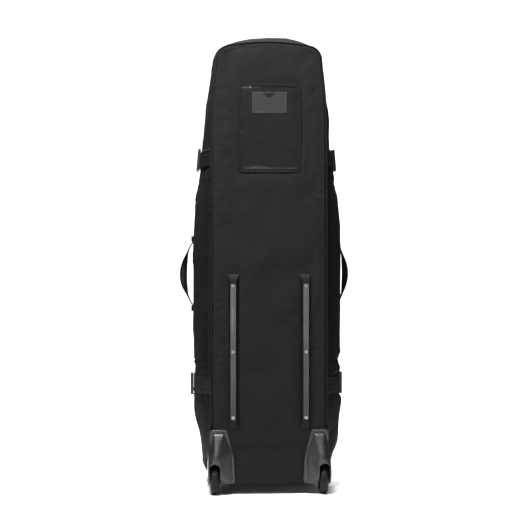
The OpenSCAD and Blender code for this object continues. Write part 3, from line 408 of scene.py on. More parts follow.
class Skin:
    """The outer surface: a closed back outline swept forward, swelling at mid depth.

    A place on it is (arc, t): arc runs from the crown's centre, positive down the right and
    negative down the left, and t is the depth from the back panel.
    """

    def __init__(self, s):
        self.s = s
        h0 = s.base + s.base_radius
        self.table = np.array([
            [h0, s.half_back - 2 * MM, s.bulge * 0.58],
            [0.150, s.half_back - 0.5 * MM, s.bulge * 0.76],
            [s.bend, s.half_back, s.bulge],
            [0.712, s.half_back, s.bulge],
            [s.back_top - 0.318, s.half_back, s.bulge * 0.62],
            [s.back_top - 0.165, s.half_back - 3 * MM, s.bulge * 0.38],
            [s.back_top - 0.046, s.half_back - 14 * MM, s.bulge * 0.20]])
        side_top = self.table[-1, 0]
        corner_x = self.table[-1, 1] - s.top_radius
        end = math.radians(80)
        arch_x = corner_x + s.top_radius * math.cos(end)
        arch_z = side_top + s.top_radius * math.sin(end)
        rows = []
        for i in range(40):
            q = 1 - i / 40
            x = arch_x * (1 - q)
            rows.append([x, arch_z + (s.back_top - arch_z) * (1 - (1 - q) ** 2),
                         s.crown * (0.62 + 0.38 * math.sin(q * math.pi / 2))])
        for i in range(25):
            a = end * (1 - i / 24)
            tip = self.table[-1, 2]
            rows.append([corner_x + s.top_radius * math.cos(a), side_top + s.top_radius * math.sin(a),
                         tip + (s.crown * 0.62 - tip) * a / end])
        for z in np.linspace(side_top, h0, 420)[1:]:
            rows.append([self.column(z, 1), z, self.column(z, 2)])
        for i in range(1, 31):
            a = math.radians(90 - 3 * i)
            rows.append([s.half_back - 2 * MM - s.base_radius + s.base_radius * math.sin(a),
                         h0 - s.base_radius * math.cos(a), self.table[0, 2] * math.sin(a) ** 2])
        for x in np.linspace(rows[-1][0], 0, 40)[1:]:
            rows.append([x, s.base, 0.0])
        rows = np.array(rows)
        step = np.hypot(np.diff(rows[:, 0]), np.diff(rows[:, 1]))
        self.arcs = np.concatenate([[0], np.cumsum(step)])
        even = np.linspace(0, self.arcs[-1], 1600)
        self.rows = np.array([np.interp(even, self.arcs, rows[:, k]) for k in range(3)]).T
        self.arcs = even
        tangent = np.gradient(self.rows[:, :2], even, axis=0)
        normal = np.array([-tangent[:, 1], tangent[:, 0]]).T
        normal[0] = (0, 1)
        pad = np.vstack([normal[12:0:-1] * (-1, 1), normal, normal[-2:-14:-1] * (-1, 1)])
        soft = np.array([np.convolve(pad[:, k], np.ones(25) / 25, "valid") for k in range(2)]).T
        self.normals = soft / np.linalg.norm(soft, axis=1)[:, None]
        self.length = even[-1]

    def column(self, z, c):
        """Hermite interpolation of the side table that never overshoots."""
        t = self.table
        i = int(np.clip(np.searchsorted(t[:, 0], z, "right") - 1, 0, len(t) - 2))
        rise = np.diff(t[:, c]) / np.diff(t[:, 0])

        def slope(k):
            a, b = rise[max(k - 1, 0)], rise[min(k, len(rise) - 1)]
            return 0.0 if a * b <= 0 else 2 * a * b / (a + b)

        h = t[i + 1, 0] - t[i, 0]
        q = min(max((z - t[i, 0]) / h, 0), 1)
        return ((1 + 2 * q) * (1 - q) ** 2 * t[i, c] + q * (1 - q) ** 2 * h * slope(i)
                + q * q * (3 - 2 * q) * t[i + 1, c] + q * q * (q - 1) * h * slope(i + 1))

    def swell(self, t):
        s = self.s
        before, after = s.zip_depth - FLAT, s.zip_depth + FLAT
        past = np.where(t < before, t, np.where(
            t < after, before, before + (t - after) * (s.depth - before) / (s.depth - after)))
        u = np.clip(past / s.depth, 0, 1)
        rise = 1 - np.power(np.clip(1 - u / PEAK, 0, 1), 1.9)
        fall = 1 - 0.5 * np.power(np.clip((u - PEAK) / (1 - PEAK), 0, 1), 2.2)
        return np.where(u < PEAK, rise, fall)

    def place(self, arc, t, lift=0.0):
        """Points at arc and depth t, raised by lift over the surface."""
        arc, t, lift = np.broadcast_arrays(np.asarray(arc, float), np.asarray(t, float),
                                           np.asarray(lift, float))
        a = np.abs(arc)
        sign = np.where(arc < 0, -1.0, 1.0)
        x, z, b = (np.interp(a, self.arcs, self.rows[:, k]) for k in range(3))
        nx, nz = (np.interp(a, self.arcs, self.normals[:, k]) for k in range(2))
        d = b * self.swell(t) + lift
        return np.stack([sign * (x + nx * d), BACK_Y + t, z + nz * d], axis=-1)

    def height(self, arc):
        return np.interp(np.abs(arc), self.arcs, self.rows[:, 1])

    def arc_at(self, z):
        """The arc down the side at height z."""
        side = (self.arcs > 0.13) & (self.arcs < self.length - 0.1)
        return float(np.interp(-z, -self.rows[side, 1], self.arcs[side]))

    def zip_line(self, z):
        s = self.s
        fold = s.hinge + 18 * MM
        front = s.depth - s.wall - 4 * MM
        q = np.clip((s.bend - z) / (s.bend - fold), 0, 1)
        return np.where(z >= s.bend, s.zip_depth, s.zip_depth + (front - s.zip_depth) * q ** 1.6)

    def body_edge(self, z):
        s = self.s
        seam = self.zip_line(z) - np.where(z >= s.bend, s.tape, 0.7 * MM)
        return np.where(z > s.hinge + 18 * MM, seam, s.depth - s.wall - 0.4 * MM)

    def lid_edge(self, z):
        s = self.s
        return self.zip_line(z) + np.where(z >= s.bend, s.tape, 0.7 * MM)


# ---- Soft surface detail ------------------------------------------------------------------------

def waves(u, v, length, seed, count=9, stretch=(1.0, 1.0)):
    """Smooth seeded noise of about unit height, from plane waves near one length."""
    rng = np.random.default_rng(seed)
    total = np.zeros(np.broadcast(u, v).shape)
    for _ in range(count):
        angle, phase = rng.uniform(0, 2 * math.pi), rng.uniform(0, 2 * math.pi)
        span = length * rng.uniform(0.7, 1.5)
        total = total + np.sin(2 * math.pi
                               * (u * math.cos(angle) * stretch[0] + v * math.sin(angle) * stretch[1])
                               / span + phase)
    return total / math.sqrt(count / 2)


def creases(u, v, length, seed, sharp=0.22, stretch=(1.0, 1.0)):
    """Narrow raised folds that wander, 0 to 1."""
    line = waves(u, v, length, seed, 7, stretch)
    patch = np.clip(waves(u, v, length * 2.2, seed + 50) * 0.5 + 0.5, 0, 1)
    return np.exp(-(line / sharp) ** 2) * patch


def gather(along, away, seed, reach, pitch=0.016):
    """Puckers that stand square to a seam and die out within reach of it."""
    wobble = waves(along, away * 0.3, 0.11, seed, 6) * 0.5
    pull = np.clip(waves(along, away * 0, 0.23, seed + 9, 6) * 0.4 + 0.75, 0.15, 1.3)
    return np.sin(2 * math.pi * along / pitch + 5 * wobble) * pull * np.exp(-np.abs(away) / reach)


def ease(x, a, b):
    q = np.clip((x - a) / (b - a), 0, 1)
    return q * q * (3 - 2 * q)


# ---- Mesh helpers ------------------------------------------------------------------------------

def link(name, mesh):
    obj = bpy.data.objects.new(name, mesh)
    bpy.context.scene.collection.objects.link(obj)
    return obj


def grid(name, points, uv=None, keep=None, wrap=False, centre=(0.0, 0.0, 0.65)):
    """A sheet from an n by m array of points, its normals turned away from centre.

    keep(centres) picks the faces that stay.
    """
    n, m = points.shape[:2]
    index = np.arange(n * m).reshape(n, m)
    right = np.roll(index, -1, axis=1) if wrap else index[:, 1:]
    left = index if wrap else index[:, :-1]
    faces = np.stack([left[:-1], left[1:], right[1:], right[:-1]], axis=-1).reshape(-1, 4)
    flat = points.reshape(-1, 3)
    first, second = flat[faces[:, 2]] - flat[faces[:, 0]], flat[faces[:, 3]] - flat[faces[:, 1]]
    if (np.cross(first, second) * (flat[faces].mean(axis=1) - centre)).sum() < 0:
        faces = faces[:, ::-1]
    if keep is not None:
        faces = faces[keep(flat[faces].mean(axis=1))]
    used = np.unique(faces)
    renumber = np.full(n * m, -1)
    renumber[used] = np.arange(len(used))
    mesh = bpy.data.meshes.new(name)
    mesh.from_pydata(flat[used].tolist(), [], renumber[faces].tolist())
    if uv is not None:
        layer = mesh.uv_layers.new(name="cloth")
        loops = np.empty(len(mesh.loops), int)
        mesh.loops.foreach_get("vertex_index", loops)
        layer.data.foreach_set("uv", uv.reshape(-1, 2)[used][loops].astype(np.float32).ravel())
    mesh.shade_smooth()
    mesh.update()
    return link(name, mesh)


def tube(name, path, radius, sides=10, up=(0, 1, 0), flatten=1.0, uv_scale=1.0):
    """A round or flattened tube along a path, its ends closed."""
    path = np.asarray(path, float)
    tangent = np.gradient(path, axis=0)
    tangent /= np.linalg.norm(tangent, axis=1)[:, None]
    side = np.cross(tangent, np.broadcast_to(np.asarray(up, float), path.shape))
    side /= np.linalg.norm(side, axis=1)[:, None]
    over = np.cross(side, tangent)
    radius = np.broadcast_to(np.asarray(radius, float), (len(path),))[:, None, None]
    angle = np.linspace(0, 2 * math.pi, sides, endpoint=False)[None, :, None]
    points = path[:, None] + radius * (np.cos(angle) * side[:, None] + flatten * np.sin(angle)
                                       * over[:, None])
    run = np.concatenate([[0], np.cumsum(np.linalg.norm(np.diff(path, axis=0), axis=1))])
    uv = np.stack(np.broadcast_arrays(run[:, None],
                                      np.linspace(0, 6.28, sides)[None] * float(radius.mean())), -1)
    obj = grid(name, points, uv, wrap=True)
    close_ends(obj, len(path), sides)
    return obj


def close_ends(obj, rows, sides):
    """Caps the first and last ring of a wrapped grid and turns its faces outward."""
    import bmesh
    bm = bmesh.new()
    bm.from_mesh(obj.data)
    bm.verts.ensure_lookup_table()
    for start in (0, (rows - 1) * sides):
        bm.faces.new([bm.verts[start + k] for k in range(sides)])
    bmesh.ops.recalc_face_normals(bm, faces=bm.faces)
    bm.to_mesh(obj.data)
    bm.free()
    obj.data.shade_smooth()


def strap(name, path, across, width, thick, sides=None):
    """Flat webbing along a path: across is its width direction, with rounded edges."""
    path, across = np.asarray(path, float), np.asarray(across, float)
    across = np.broadcast_to(across, path.shape)
    across = across / np.linalg.norm(across, axis=1)[:, None]
    tangent = np.gradient(path, axis=0)
    tangent /= np.linalg.norm(tangent, axis=1)[:, None]
    face = np.cross(across, tangent)
    face /= np.linalg.norm(face, axis=1)[:, None]
    width = np.broadcast_to(np.asarray(width, float), (len(path),))
    half = thick / 2
    profile = []
    for q in np.linspace(-1, 1, 9):
        profile.append((q, 1.0))
    for q in np.linspace(1, -1, 9):
        profile.append((q, -1.0))
    points, uvs = [], []
    run = np.concatenate([[0], np.cumsum(np.linalg.norm(np.diff(path, axis=0), axis=1))])
    for q, f in profile:
        edge = 1 - 0.55 * abs(q) ** 14
        points.append(path + across * (q * width / 2)[:, None] + face * (f * half * edge))
        uvs.append(np.stack([run, q * width / 2 + (0 if f > 0 else width)], -1))
    obj = grid(name, np.stack(points, 1), np.stack(uvs, 1), wrap=True)
    close_ends(obj, len(path), len(profile))
    return obj


def coat(obj, *names):
    """Gives a piece its finishes, in slot order."""
    obj.data.materials.clear()
    for name in names:
        obj.data.materials.append(finish_of(name))
    return obj


def plain(obj):
    """Turns a piece's modifiers into plain mesh."""
    view = bpy.context.evaluated_depsgraph_get()
    made = bpy.data.meshes.new_from_object(obj.evaluated_get(view), preserve_all_data_layers=True,
                                           depsgraph=view)
    obj.modifiers.clear()
    old = obj.data
    obj.data = made
    bpy.data.meshes.remove(old)
    return obj


def thicken(obj, thickness, offset=-1.0):
    """Gives a cloth sheet its wall; the inside takes the second finish."""
    solid = obj.modifiers.new("Wall", "SOLIDIFY")
    solid.thickness, solid.offset = thickness, offset
    solid.material_offset = 1 if len(obj.data.materials) > 1 else 0
    solid.use_quality_normals = True
    return plain(obj)


def merge(name, objects):
    """Joins finished meshes into one piece."""
    import bmesh
    bm = bmesh.new()
    slots = []
    for obj in objects:
        start = len(bm.faces)
        bm.from_mesh(obj.data)
        bm.faces.ensure_lookup_table()
        places = []
        for material in obj.data.materials:
            if material not in slots:
                slots.append(material)
            places.append(slots.index(material))
        for face in bm.faces[start:]:
            face.material_index = places[min(face.material_index, len(places) - 1)] if places else 0
    mesh = bpy.data.meshes.new(name)
    bm.to_mesh(mesh)
    bm.free()
    for material in slots:
        mesh.materials.append(material)
    for obj in objects:
        old = obj.data
        bpy.data.objects.remove(obj)
        bpy.data.meshes.remove(old)
    return link(name, mesh)


def softened(node, name, width, finish, segments=2, angle=32):
    """A copy of a moulded CAD part with its edges rounded."""
    import bmesh
    bm = bmesh.new()
    bm.from_mesh(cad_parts[node].data)
    bmesh.ops.remove_doubles(bm, verts=bm.verts, dist=1e-5)
    bmesh.ops.dissolve_limit(bm, angle_limit=math.radians(1.5), verts=bm.verts, edges=bm.edges)
    mesh = bpy.data.meshes.new(name)
    bm.to_mesh(mesh)
    bm.free()
    obj = link(name, mesh)
    bevel = obj.modifiers.new("Rounding", "BEVEL")
    bevel.width, bevel.segments, bevel.limit_method = width, segments, "ANGLE"
    bevel.angle_limit, bevel.harden_normals, bevel.use_clamp_overlap = math.radians(angle), True, True
    coat(obj, finish)
    obj = plain(obj)
    obj.data.shade_smooth()
    obj.data.set_sharp_from_angle(angle=math.radians(50))
    flat = obj.modifiers.new("Flat faces", "WEIGHTED_NORMAL")
    flat.keep_sharp, flat.weight = True, 90
    return plain(obj)


def settle(obj, hold, pressure, slack, cap, frames=18, stiffness=12.0):
    """Lets a sheet billow between its seams with a cloth simulation, then keeps the shape.

    hold is each point's grip from 0 to 1, slack the share of spare cloth, and cap the
    furthest that a point may move.
    """
    rest = np.empty(len(obj.data.vertices) * 3)
    obj.data.vertices.foreach_get("co", rest)
    group = obj.vertex_groups.new(name="seams")
    for index, weight in enumerate(hold):
        if weight > 0.01:
            group.add([index], float(weight), "REPLACE")
    cloth = obj.modifiers.new("Cloth", "CLOTH")
    setting = cloth.settings
    setting.quality, setting.mass = 4, 0.25
    setting.tension_stiffness = setting.compression_stiffness = stiffness
    setting.shear_stiffness, setting.bending_stiffness = stiffness / 2, 0.6
    setting.use_pressure, setting.uniform_pressure_force = True, pressure
    setting.shrink_min = -slack
    setting.vertex_group_mass = "seams"
    setting.pin_stiffness = 1.0
    setting.effector_weights.gravity = 0.0
    cloth.collision_settings.use_collision = False
    cloth.point_cache.frame_start, cloth.point_cache.frame_end = 1, frames
    scene = bpy.context.scene
    for step in range(1, frames + 1):
        scene.frame_set(step)
    view = bpy.context.evaluated_depsgraph_get()
    moved = np.empty(len(rest))
    obj.evaluated_get(view).data.vertices.foreach_get("co", moved)
    shift = (moved - rest).reshape(-1, 3)
    far = np.linalg.norm(shift, axis=1)
    limit = cap * np.tanh(far / cap) / np.maximum(far, 1e-9)
    obj.modifiers.clear()
    obj.vertex_groups.clear()
    obj.data.vertices.foreach_set("co", rest + (shift * limit[:, None]).ravel())
    obj.data.update()
    scene.frame_set(1)
    return obj


def ready(obj, body, slot, *nodes, fill=None):
    """Hands a finished piece to the frame."""
    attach(obj, body)
    if nodes:
        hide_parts(*nodes)
    return obj


# ---- Geometry Nodes ----------------------------------------------------------------------------

def repeat_tree():
    """Repeats a small rounded bar along every line of the mesh it is given."""
    tree = bpy.data.node_groups.get("Bars along lines")
    if tree:
        return tree
    tree = bpy.data.node_groups.new("Bars along lines", "GeometryNodeTree")
    face = tree.interface
    face.new_socket("Geometry", in_out="INPUT", socket_type="NodeSocketGeometry")
    for name, default in (("Pitch", 0.004), ("Length", 0.003), ("Width", 0.0008), ("Height", 0.0006)):
        face.new_socket(name, in_out="INPUT", socket_type="NodeSocketFloat").default_value = default
    face.new_socket("Across", in_out="INPUT", socket_type="NodeSocketBool").default_value = False
    face.new_socket("Material", in_out="INPUT", socket_type="NodeSocketMaterial")
    face.new_socket("Geometry", in_out="OUTPUT", socket_type="NodeSocketGeometry")
    given = add(tree, "NodeGroupInput").outputs
    curve = add(tree, "GeometryNodeMeshToCurve", [(0, given["Geometry"])]).outputs[0]
    points = add(tree, "GeometryNodeResampleCurve", [("Curve", curve), ("Length", given["Pitch"])],
                 mode="LENGTH")
    tangent = add(tree, "GeometryNodeInputTangent").outputs[0]
    out = add(tree, "GeometryNodeInputNamedAttribute", [("Name", "outward")],
              data_type="FLOAT_VECTOR").outputs[0]
    turn = add(tree, "FunctionNodeAlignRotationToVector", [("Vector", tangent)], axis="X").outputs[0]
    turn = add(tree, "FunctionNodeAlignRotationToVector", [("Rotation", turn), ("Vector", out)], axis="Z",
               pivot_axis="X").outputs[0]
    bar = add(tree, "GeometryNodeMeshUVSphere", [("Segments", 6), ("Rings", 4), ("Radius", 0.5)]).outputs[0]
    size = add(tree, "ShaderNodeCombineXYZ",
               [(0, given["Length"]), (1, given["Width"]), (2, given["Height"])])
    bar = add(tree, "GeometryNodeTransform", [("Geometry", bar), ("Scale", size.outputs[0])]).outputs[0]
    placed = add(tree, "GeometryNodeInstanceOnPoints", [("Points", points.outputs[0]), ("Instance", bar),
                                                        ("Rotation", turn)]).outputs[0]
    real = add(tree, "GeometryNodeRealizeInstances", [(0, placed)]).outputs[0]
    smooth = add(tree, "GeometryNodeSetShadeSmooth", [("Geometry", real)]).outputs[0]
    coated = add(tree, "GeometryNodeSetMaterial",
                 [("Geometry", smooth), ("Material", given["Material"])]).outputs[0]
    add(tree, "NodeGroupOutput", [(0, coated)])
    return tree


def repeats(name, lines, finish, pitch, length, width, height):
    """Bars such as stitches or zip coils along lines of (points, outward) pairs, as plain mesh."""
    verts, edges, outs = [], [], []
    for points, outward in lines:
        points = np.asarray(points, float)
        outward = np.broadcast_to(np.asarray(outward, float), points.shape)
        start = len(verts)
        verts += points.tolist()
        outs += outward.tolist()
        edges += [(start + i, start + i + 1) for i in range(len(points) - 1)]
    mesh = bpy.data.meshes.new(name)
    mesh.from_pydata(verts, edges, [])
    attribute = mesh.attributes.new("outward", "FLOAT_VECTOR", "POINT")
    attribute.data.foreach_set("vector", np.array(outs, np.float32).ravel())
    obj = link(name, mesh)
    tree = repeat_tree()
    modifier = obj.modifiers.new("Bars", "NODES")
    modifier.node_group = tree
    values = {"Pitch": pitch, "Length": length, "Width": width, "Height": height,
              "Material": finish_of(finish)}
    for item in tree.interface.items_tree:
        if item.item_type == "SOCKET" and item.in_out == "INPUT" and item.name in values:
            modifier[item.identifier] = values[item.name]
    plain(obj)
    for attribute in [a.name for a in obj.data.attributes if a.name == "outward"]:
        obj.data.attributes.remove(obj.data.attributes[attribute])
    coat(obj, finish)
    return obj


def skin_line(skin, arcs, t, lift):
    """A line on the surface and its outward directions."""
    points = skin.place(arcs, t, lift)
    return points, skin.place(arcs, t, lift + 0.01) - points


# ---- Building blocks -----------------------------------------------------------------------------

def outline_at(skin, t):
    """Half of the case's outline at depth t, from the crown's centre down to the base's centre."""
    flat = skin.place(skin.arcs, t)
    return flat[:, 0], flat[:, 2]


def panel(name, outline, z_low, z_high, y, face, relief, step=0.005, inset=0.0):
    """A flat panel that fills the outline between two heights; relief(x, z, edge) lifts it.

    face is -1 for a panel that looks back and 1 for one that looks forward, and edge is the
    distance to the outline.
    """
    ox, oz = outline
    ox = np.maximum(ox - inset, 0)
    top = int(np.argmax(oz < oz[0] - 0.03))
    low_rows = np.nonzero(oz < oz.min() + 0.016)[0]
    base = int(low_rows[0])
    round_top, round_low = z_high > oz.max() - 0.004, z_low < oz.min() + 0.004
    rows = int((z_high - z_low) / step) + 1
    cols = int(2 * ox.max() / step) + 1
    u, z0 = np.meshgrid(np.linspace(-1, 1, cols), np.linspace(z_low, z_high, rows))
    z, x = z0.copy(), u * ox.max()
    for _ in range(14):
        reach = np.interp(-np.clip(z, oz[base] if round_low else -9, oz[top] if round_top else 9),
                          -oz[top:base + 1], ox[top:base + 1])
        x = u * reach
        z = z0.copy()
        if round_top:
            z += (np.interp(np.abs(x), ox[:top + 1], oz[:top + 1]) - oz.max()) * ease(z0, z_high - 0.13,
                                                                                      z_high)
        if round_low:
            z += (np.interp(np.abs(x), ox[:base - 1:-1],
                            oz[:base - 1:-1]) - oz.min()) * ease(-z0, -z_low - 0.12, -z_low)
    edge = np.minimum(reach - np.abs(x), np.minimum(z_high - z0, z0 - z_low))
    lift = relief(x, z, edge)
    points = np.stack([x, y + face * lift, z], -1)
    return grid(name, points, np.stack([x, z], -1)), edge.ravel()


def shell(name, skin, arcs, depth, lift, cut=None):
    """A sheet on the case's surface. depth(z) gives the first and last depth at a height."""
    z = skin.height(arcs)
    first, last, shares = depth(z)
    t = first[:, None] + (last - first)[:, None] * shares[None]
    a = np.broadcast_to(arcs[:, None], t.shape)
    points = skin.place(a, t, lift(a, t, z[:, None], first[:, None], last[:, None]))
    return grid(name, points, np.stack([a, t], -1), cut)


def in_well(centres):
    """True where cloth stays, away from the pockets that the wheel housings fill."""
    return ~((np.abs(centres[:, 0]) > 0.1257) & (centres[:, 1] < BACK_Y + 0.0653) & (centres[:, 2] < 0.0933))


def rounded_ring(half_x, half_z, radius, inset):
    """An inset rounded rectangle as 4 x 24 points."""
    a, b, r = half_x - inset, half_z - inset, max(radius - inset, 0.0008)
    points = []
    for sx, sz, start in ((1, -1, -90), (1, 1, 0), (-1, 1, 90), (-1, -1, 180)):
        for k in range(12):
            q = math.radians(start + 90 * k / 11)
            points.append((sx * (a - r) + r * math.cos(q), sz * (b - r) + r * math.sin(q)))
        here, turn = points[-1], {(1, -1): (a, b - r), (1, 1): (-(a - r), b), (-1, 1): (-a, -(b - r)),
                                  (-1, -1): (a - r, -b)}[(sx, sz)]
        for k in range(1, 13):
            points.append((here[0] + (turn[0] - here[0]) * k / 13, here[1] + (turn[1] - here[1]) * k / 13))
    return np.array(points)


def ring_stack(name, centre, half_x, half_z, radius, rows, face, relief=None, close=True):
    """A rounded plate from rows of (inset, height), standing on the X-Z plane; face is its side."""
    rings = []
    for inset, height in rows:
        flat = rounded_ring(half_x, half_z, radius, inset)
        lift = np.full(len(flat), height)
        if relief is not None:
            lift = lift + relief(flat[:, 0], flat[:, 1], inset)
        rings.append(np.stack([centre[0] + flat[:, 0], centre[1] + face * lift, centre[2] + flat[:, 1]], -1))
    points = np.stack(rings)
    obj = grid(name, points, points[..., [0, 2]], wrap=True)
    if close:
        close_ends(obj, len(rows), points.shape[1])
    return obj


def box_uv(obj):
    """A flat map in metres on each side of a moulded or sewn block."""
    mesh = obj.data
    layer = mesh.uv_layers.get("cloth") or mesh.uv_layers.new(name="cloth")
    for poly in mesh.polygons:
        n = poly.normal
        axis = max(range(3), key=lambda k: abs(n[k]))
        first, second = [(1, 2), (0, 2), (1, 0)][axis]
        for index in poly.loop_indices:
            co = mesh.vertices[mesh.loops[index].vertex_index].co
            layer.data[index].uv = (co[second], co[first])
    return obj


def hard(node, body, slot, finish, width, segments=2, sewn=False):
    """Hands over one CAD part with rounded edges."""
    obj = softened(node, node + "_finished", width * MM, finish, segments)
    if sewn:
        box_uv(obj)
    return ready(obj, body, slot, node)


def lathe(name, profile, centre, steps=96):
    """A ring turned about the X axis through centre; profile rows are (x, radius)."""
    profile = np.asarray(profile)
    angle = np.linspace(0, 2 * math.pi, steps, endpoint=False)[None]
    x = np.broadcast_to(profile[:, :1], (len(profile), steps))
    r = profile[:, 1:]
    points = np.stack([centre[0] + x, centre[1] + r * np.cos(angle), centre[2] + r * np.sin(angle)], -1)
    points = np.concatenate([points, points[:1]])
    obj = grid(name, points, None, wrap=True)
    import bmesh
    bm = bmesh.new()
    bm.from_mesh(obj.data)
    bmesh.ops.remove_doubles(bm, verts=bm.verts, dist=1e-6)
    bmesh.ops.recalc_face_normals(bm, faces=bm.faces)
    bm.to_mesh(obj.data)
    bm.free()
    obj.data.shade_smooth()
    return obj


def screw_tree():
    """Places a copy of one part on each point, turned to the point's outward direction."""
    tree = bpy.data.node_groups.get("Parts on points")
    if tree:
        return tree
    tree = bpy.data.node_groups.new("Parts on points", "GeometryNodeTree")
    face = tree.interface
    face.new_socket("Geometry", in_out="INPUT", socket_type="NodeSocketGeometry")
    face.new_socket("Part", in_out="INPUT", socket_type="NodeSocketObject")
    face.new_socket("Material", in_out="INPUT", socket_type="NodeSocketMaterial")
    face.new_socket("Turn seed", in_out="INPUT", socket_type="NodeSocketInt").default_value = 4
    face.new_socket("Geometry", in_out="OUTPUT", socket_type="NodeSocketGeometry")
    given = add(tree, "NodeGroupInput").outputs
    points = add(tree, "GeometryNodeMeshToPoints", [(0, given["Geometry"])]).outputs[0]
    out = add(tree, "GeometryNodeInputNamedAttribute", [("Name", "outward")],
              data_type="FLOAT_VECTOR").outputs[0]
    turn = add(tree, "FunctionNodeAlignRotationToVector", [("Vector", out)], axis="Z").outputs[0]
    spin = add(tree, "FunctionNodeRandomValue", [(2, 0.0), (3, 1.5), ("Seed", given["Turn seed"])],
               data_type="FLOAT").outputs[1]
    spun = add(tree, "FunctionNodeAxisAngleToRotation", [("Axis", (0, 0, 1)), ("Angle", spin)]).outputs[0]
    both = add(tree, "FunctionNodeRotateRotation", [(0, turn), (1, spun)], rotation_space="LOCAL").outputs[0]
    part = add(tree, "GeometryNodeObjectInfo", [("Object", given["Part"])]).outputs["Geometry"]
    placed = add(tree, "GeometryNodeInstanceOnPoints",
                 [("Points", points), ("Instance", part), ("Rotation", both)])
    real = add(tree, "GeometryNodeRealizeInstances", [(0, placed.outputs[0])]).outputs[0]
    coated = add(tree, "GeometryNodeSetMaterial",
                 [("Geometry", real), ("Material", given["Material"])]).outputs[0]
    add(tree, "NodeGroupOutput", [(0, coated)])
    return tree


def screw_heads(name, places, outward, radius, finish):
    """Domed cross-recess screw heads on their places."""
    rings, steps = np.array([0.0, 0.14, 0.3, 0.42, 0.5, 0.62, 0.8, 0.93, 1.0, 1.0]), 32
    angle = np.linspace(0, 2 * math.pi, steps, endpoint=False)[None]
    r = rings[:, None] * np.ones((1, steps))
    x, y = r * np.cos(angle), r * np.sin(angle)
    dome = 0.34 * (1 - r ** 2.4)
    cross = np.clip((0.13 - np.minimum(np.abs(x), np.abs(y))) / 0.05, 0, 1) * np.clip((0.6 - r) / 0.1, 0, 1)
    z = dome - 0.3 * cross
    z[-1] = -0.25
    head = grid(name + "_part", np.stack([x, y, z], -1) * radius, None, wrap=True,
                centre=(0, 0, -1))
    mesh = bpy.data.meshes.new(name)
    mesh.from_pydata([list(p) for p in places], [], [])
    mesh.attributes.new("outward", "FLOAT_VECTOR", "POINT").data.foreach_set(
        "vector", np.array([outward] * len(places), np.float32).ravel())
    obj = link(name, mesh)
    tree = screw_tree()
    modifier = obj.modifiers.new("Screws", "NODES")
    modifier.node_group = tree
    values = {"Part": head, "Material": finish_of(finish), "Turn seed": 4}
    for item in tree.interface.items_tree:
        if item.item_type == "SOCKET" and item.in_out == "INPUT" and item.name in values:
            modifier[item.identifier] = values[item.name]
    plain(obj)
    bpy.data.objects.remove(head)
    coat(obj, finish)
    obj.data.shade_smooth()
    return obj


# ---- Operators ----------------------------------------------------------------------------------

class CaseOperator:
    """What every operator of the case shares."""
    bl_options = {"REGISTER"}

    @property
    def s(self):
        return bpy.context.scene.case_sizes


SKINS = {}


def skin_of(s):
    if "skin" not in SKINS:
        SKINS["skin"] = Skin(s)
    return SKINS["skin"]


def side_arcs(skin, step):
    """Arcs from the left base corner over the crown to the right one, with lines on the cuts."""
    end = float(np.interp(-0.0462, -skin.rows[700:, 1], skin.arcs[700:]))
    cut = float(np.interp(-0.0933, -skin.rows[700:, 1], skin.arcs[700:]))
    half = np.concatenate([np.linspace(0, cut, int(cut / step)), np.linspace(cut, end, 12)[1:]])
    return np.concatenate([-half[:0:-1], half])


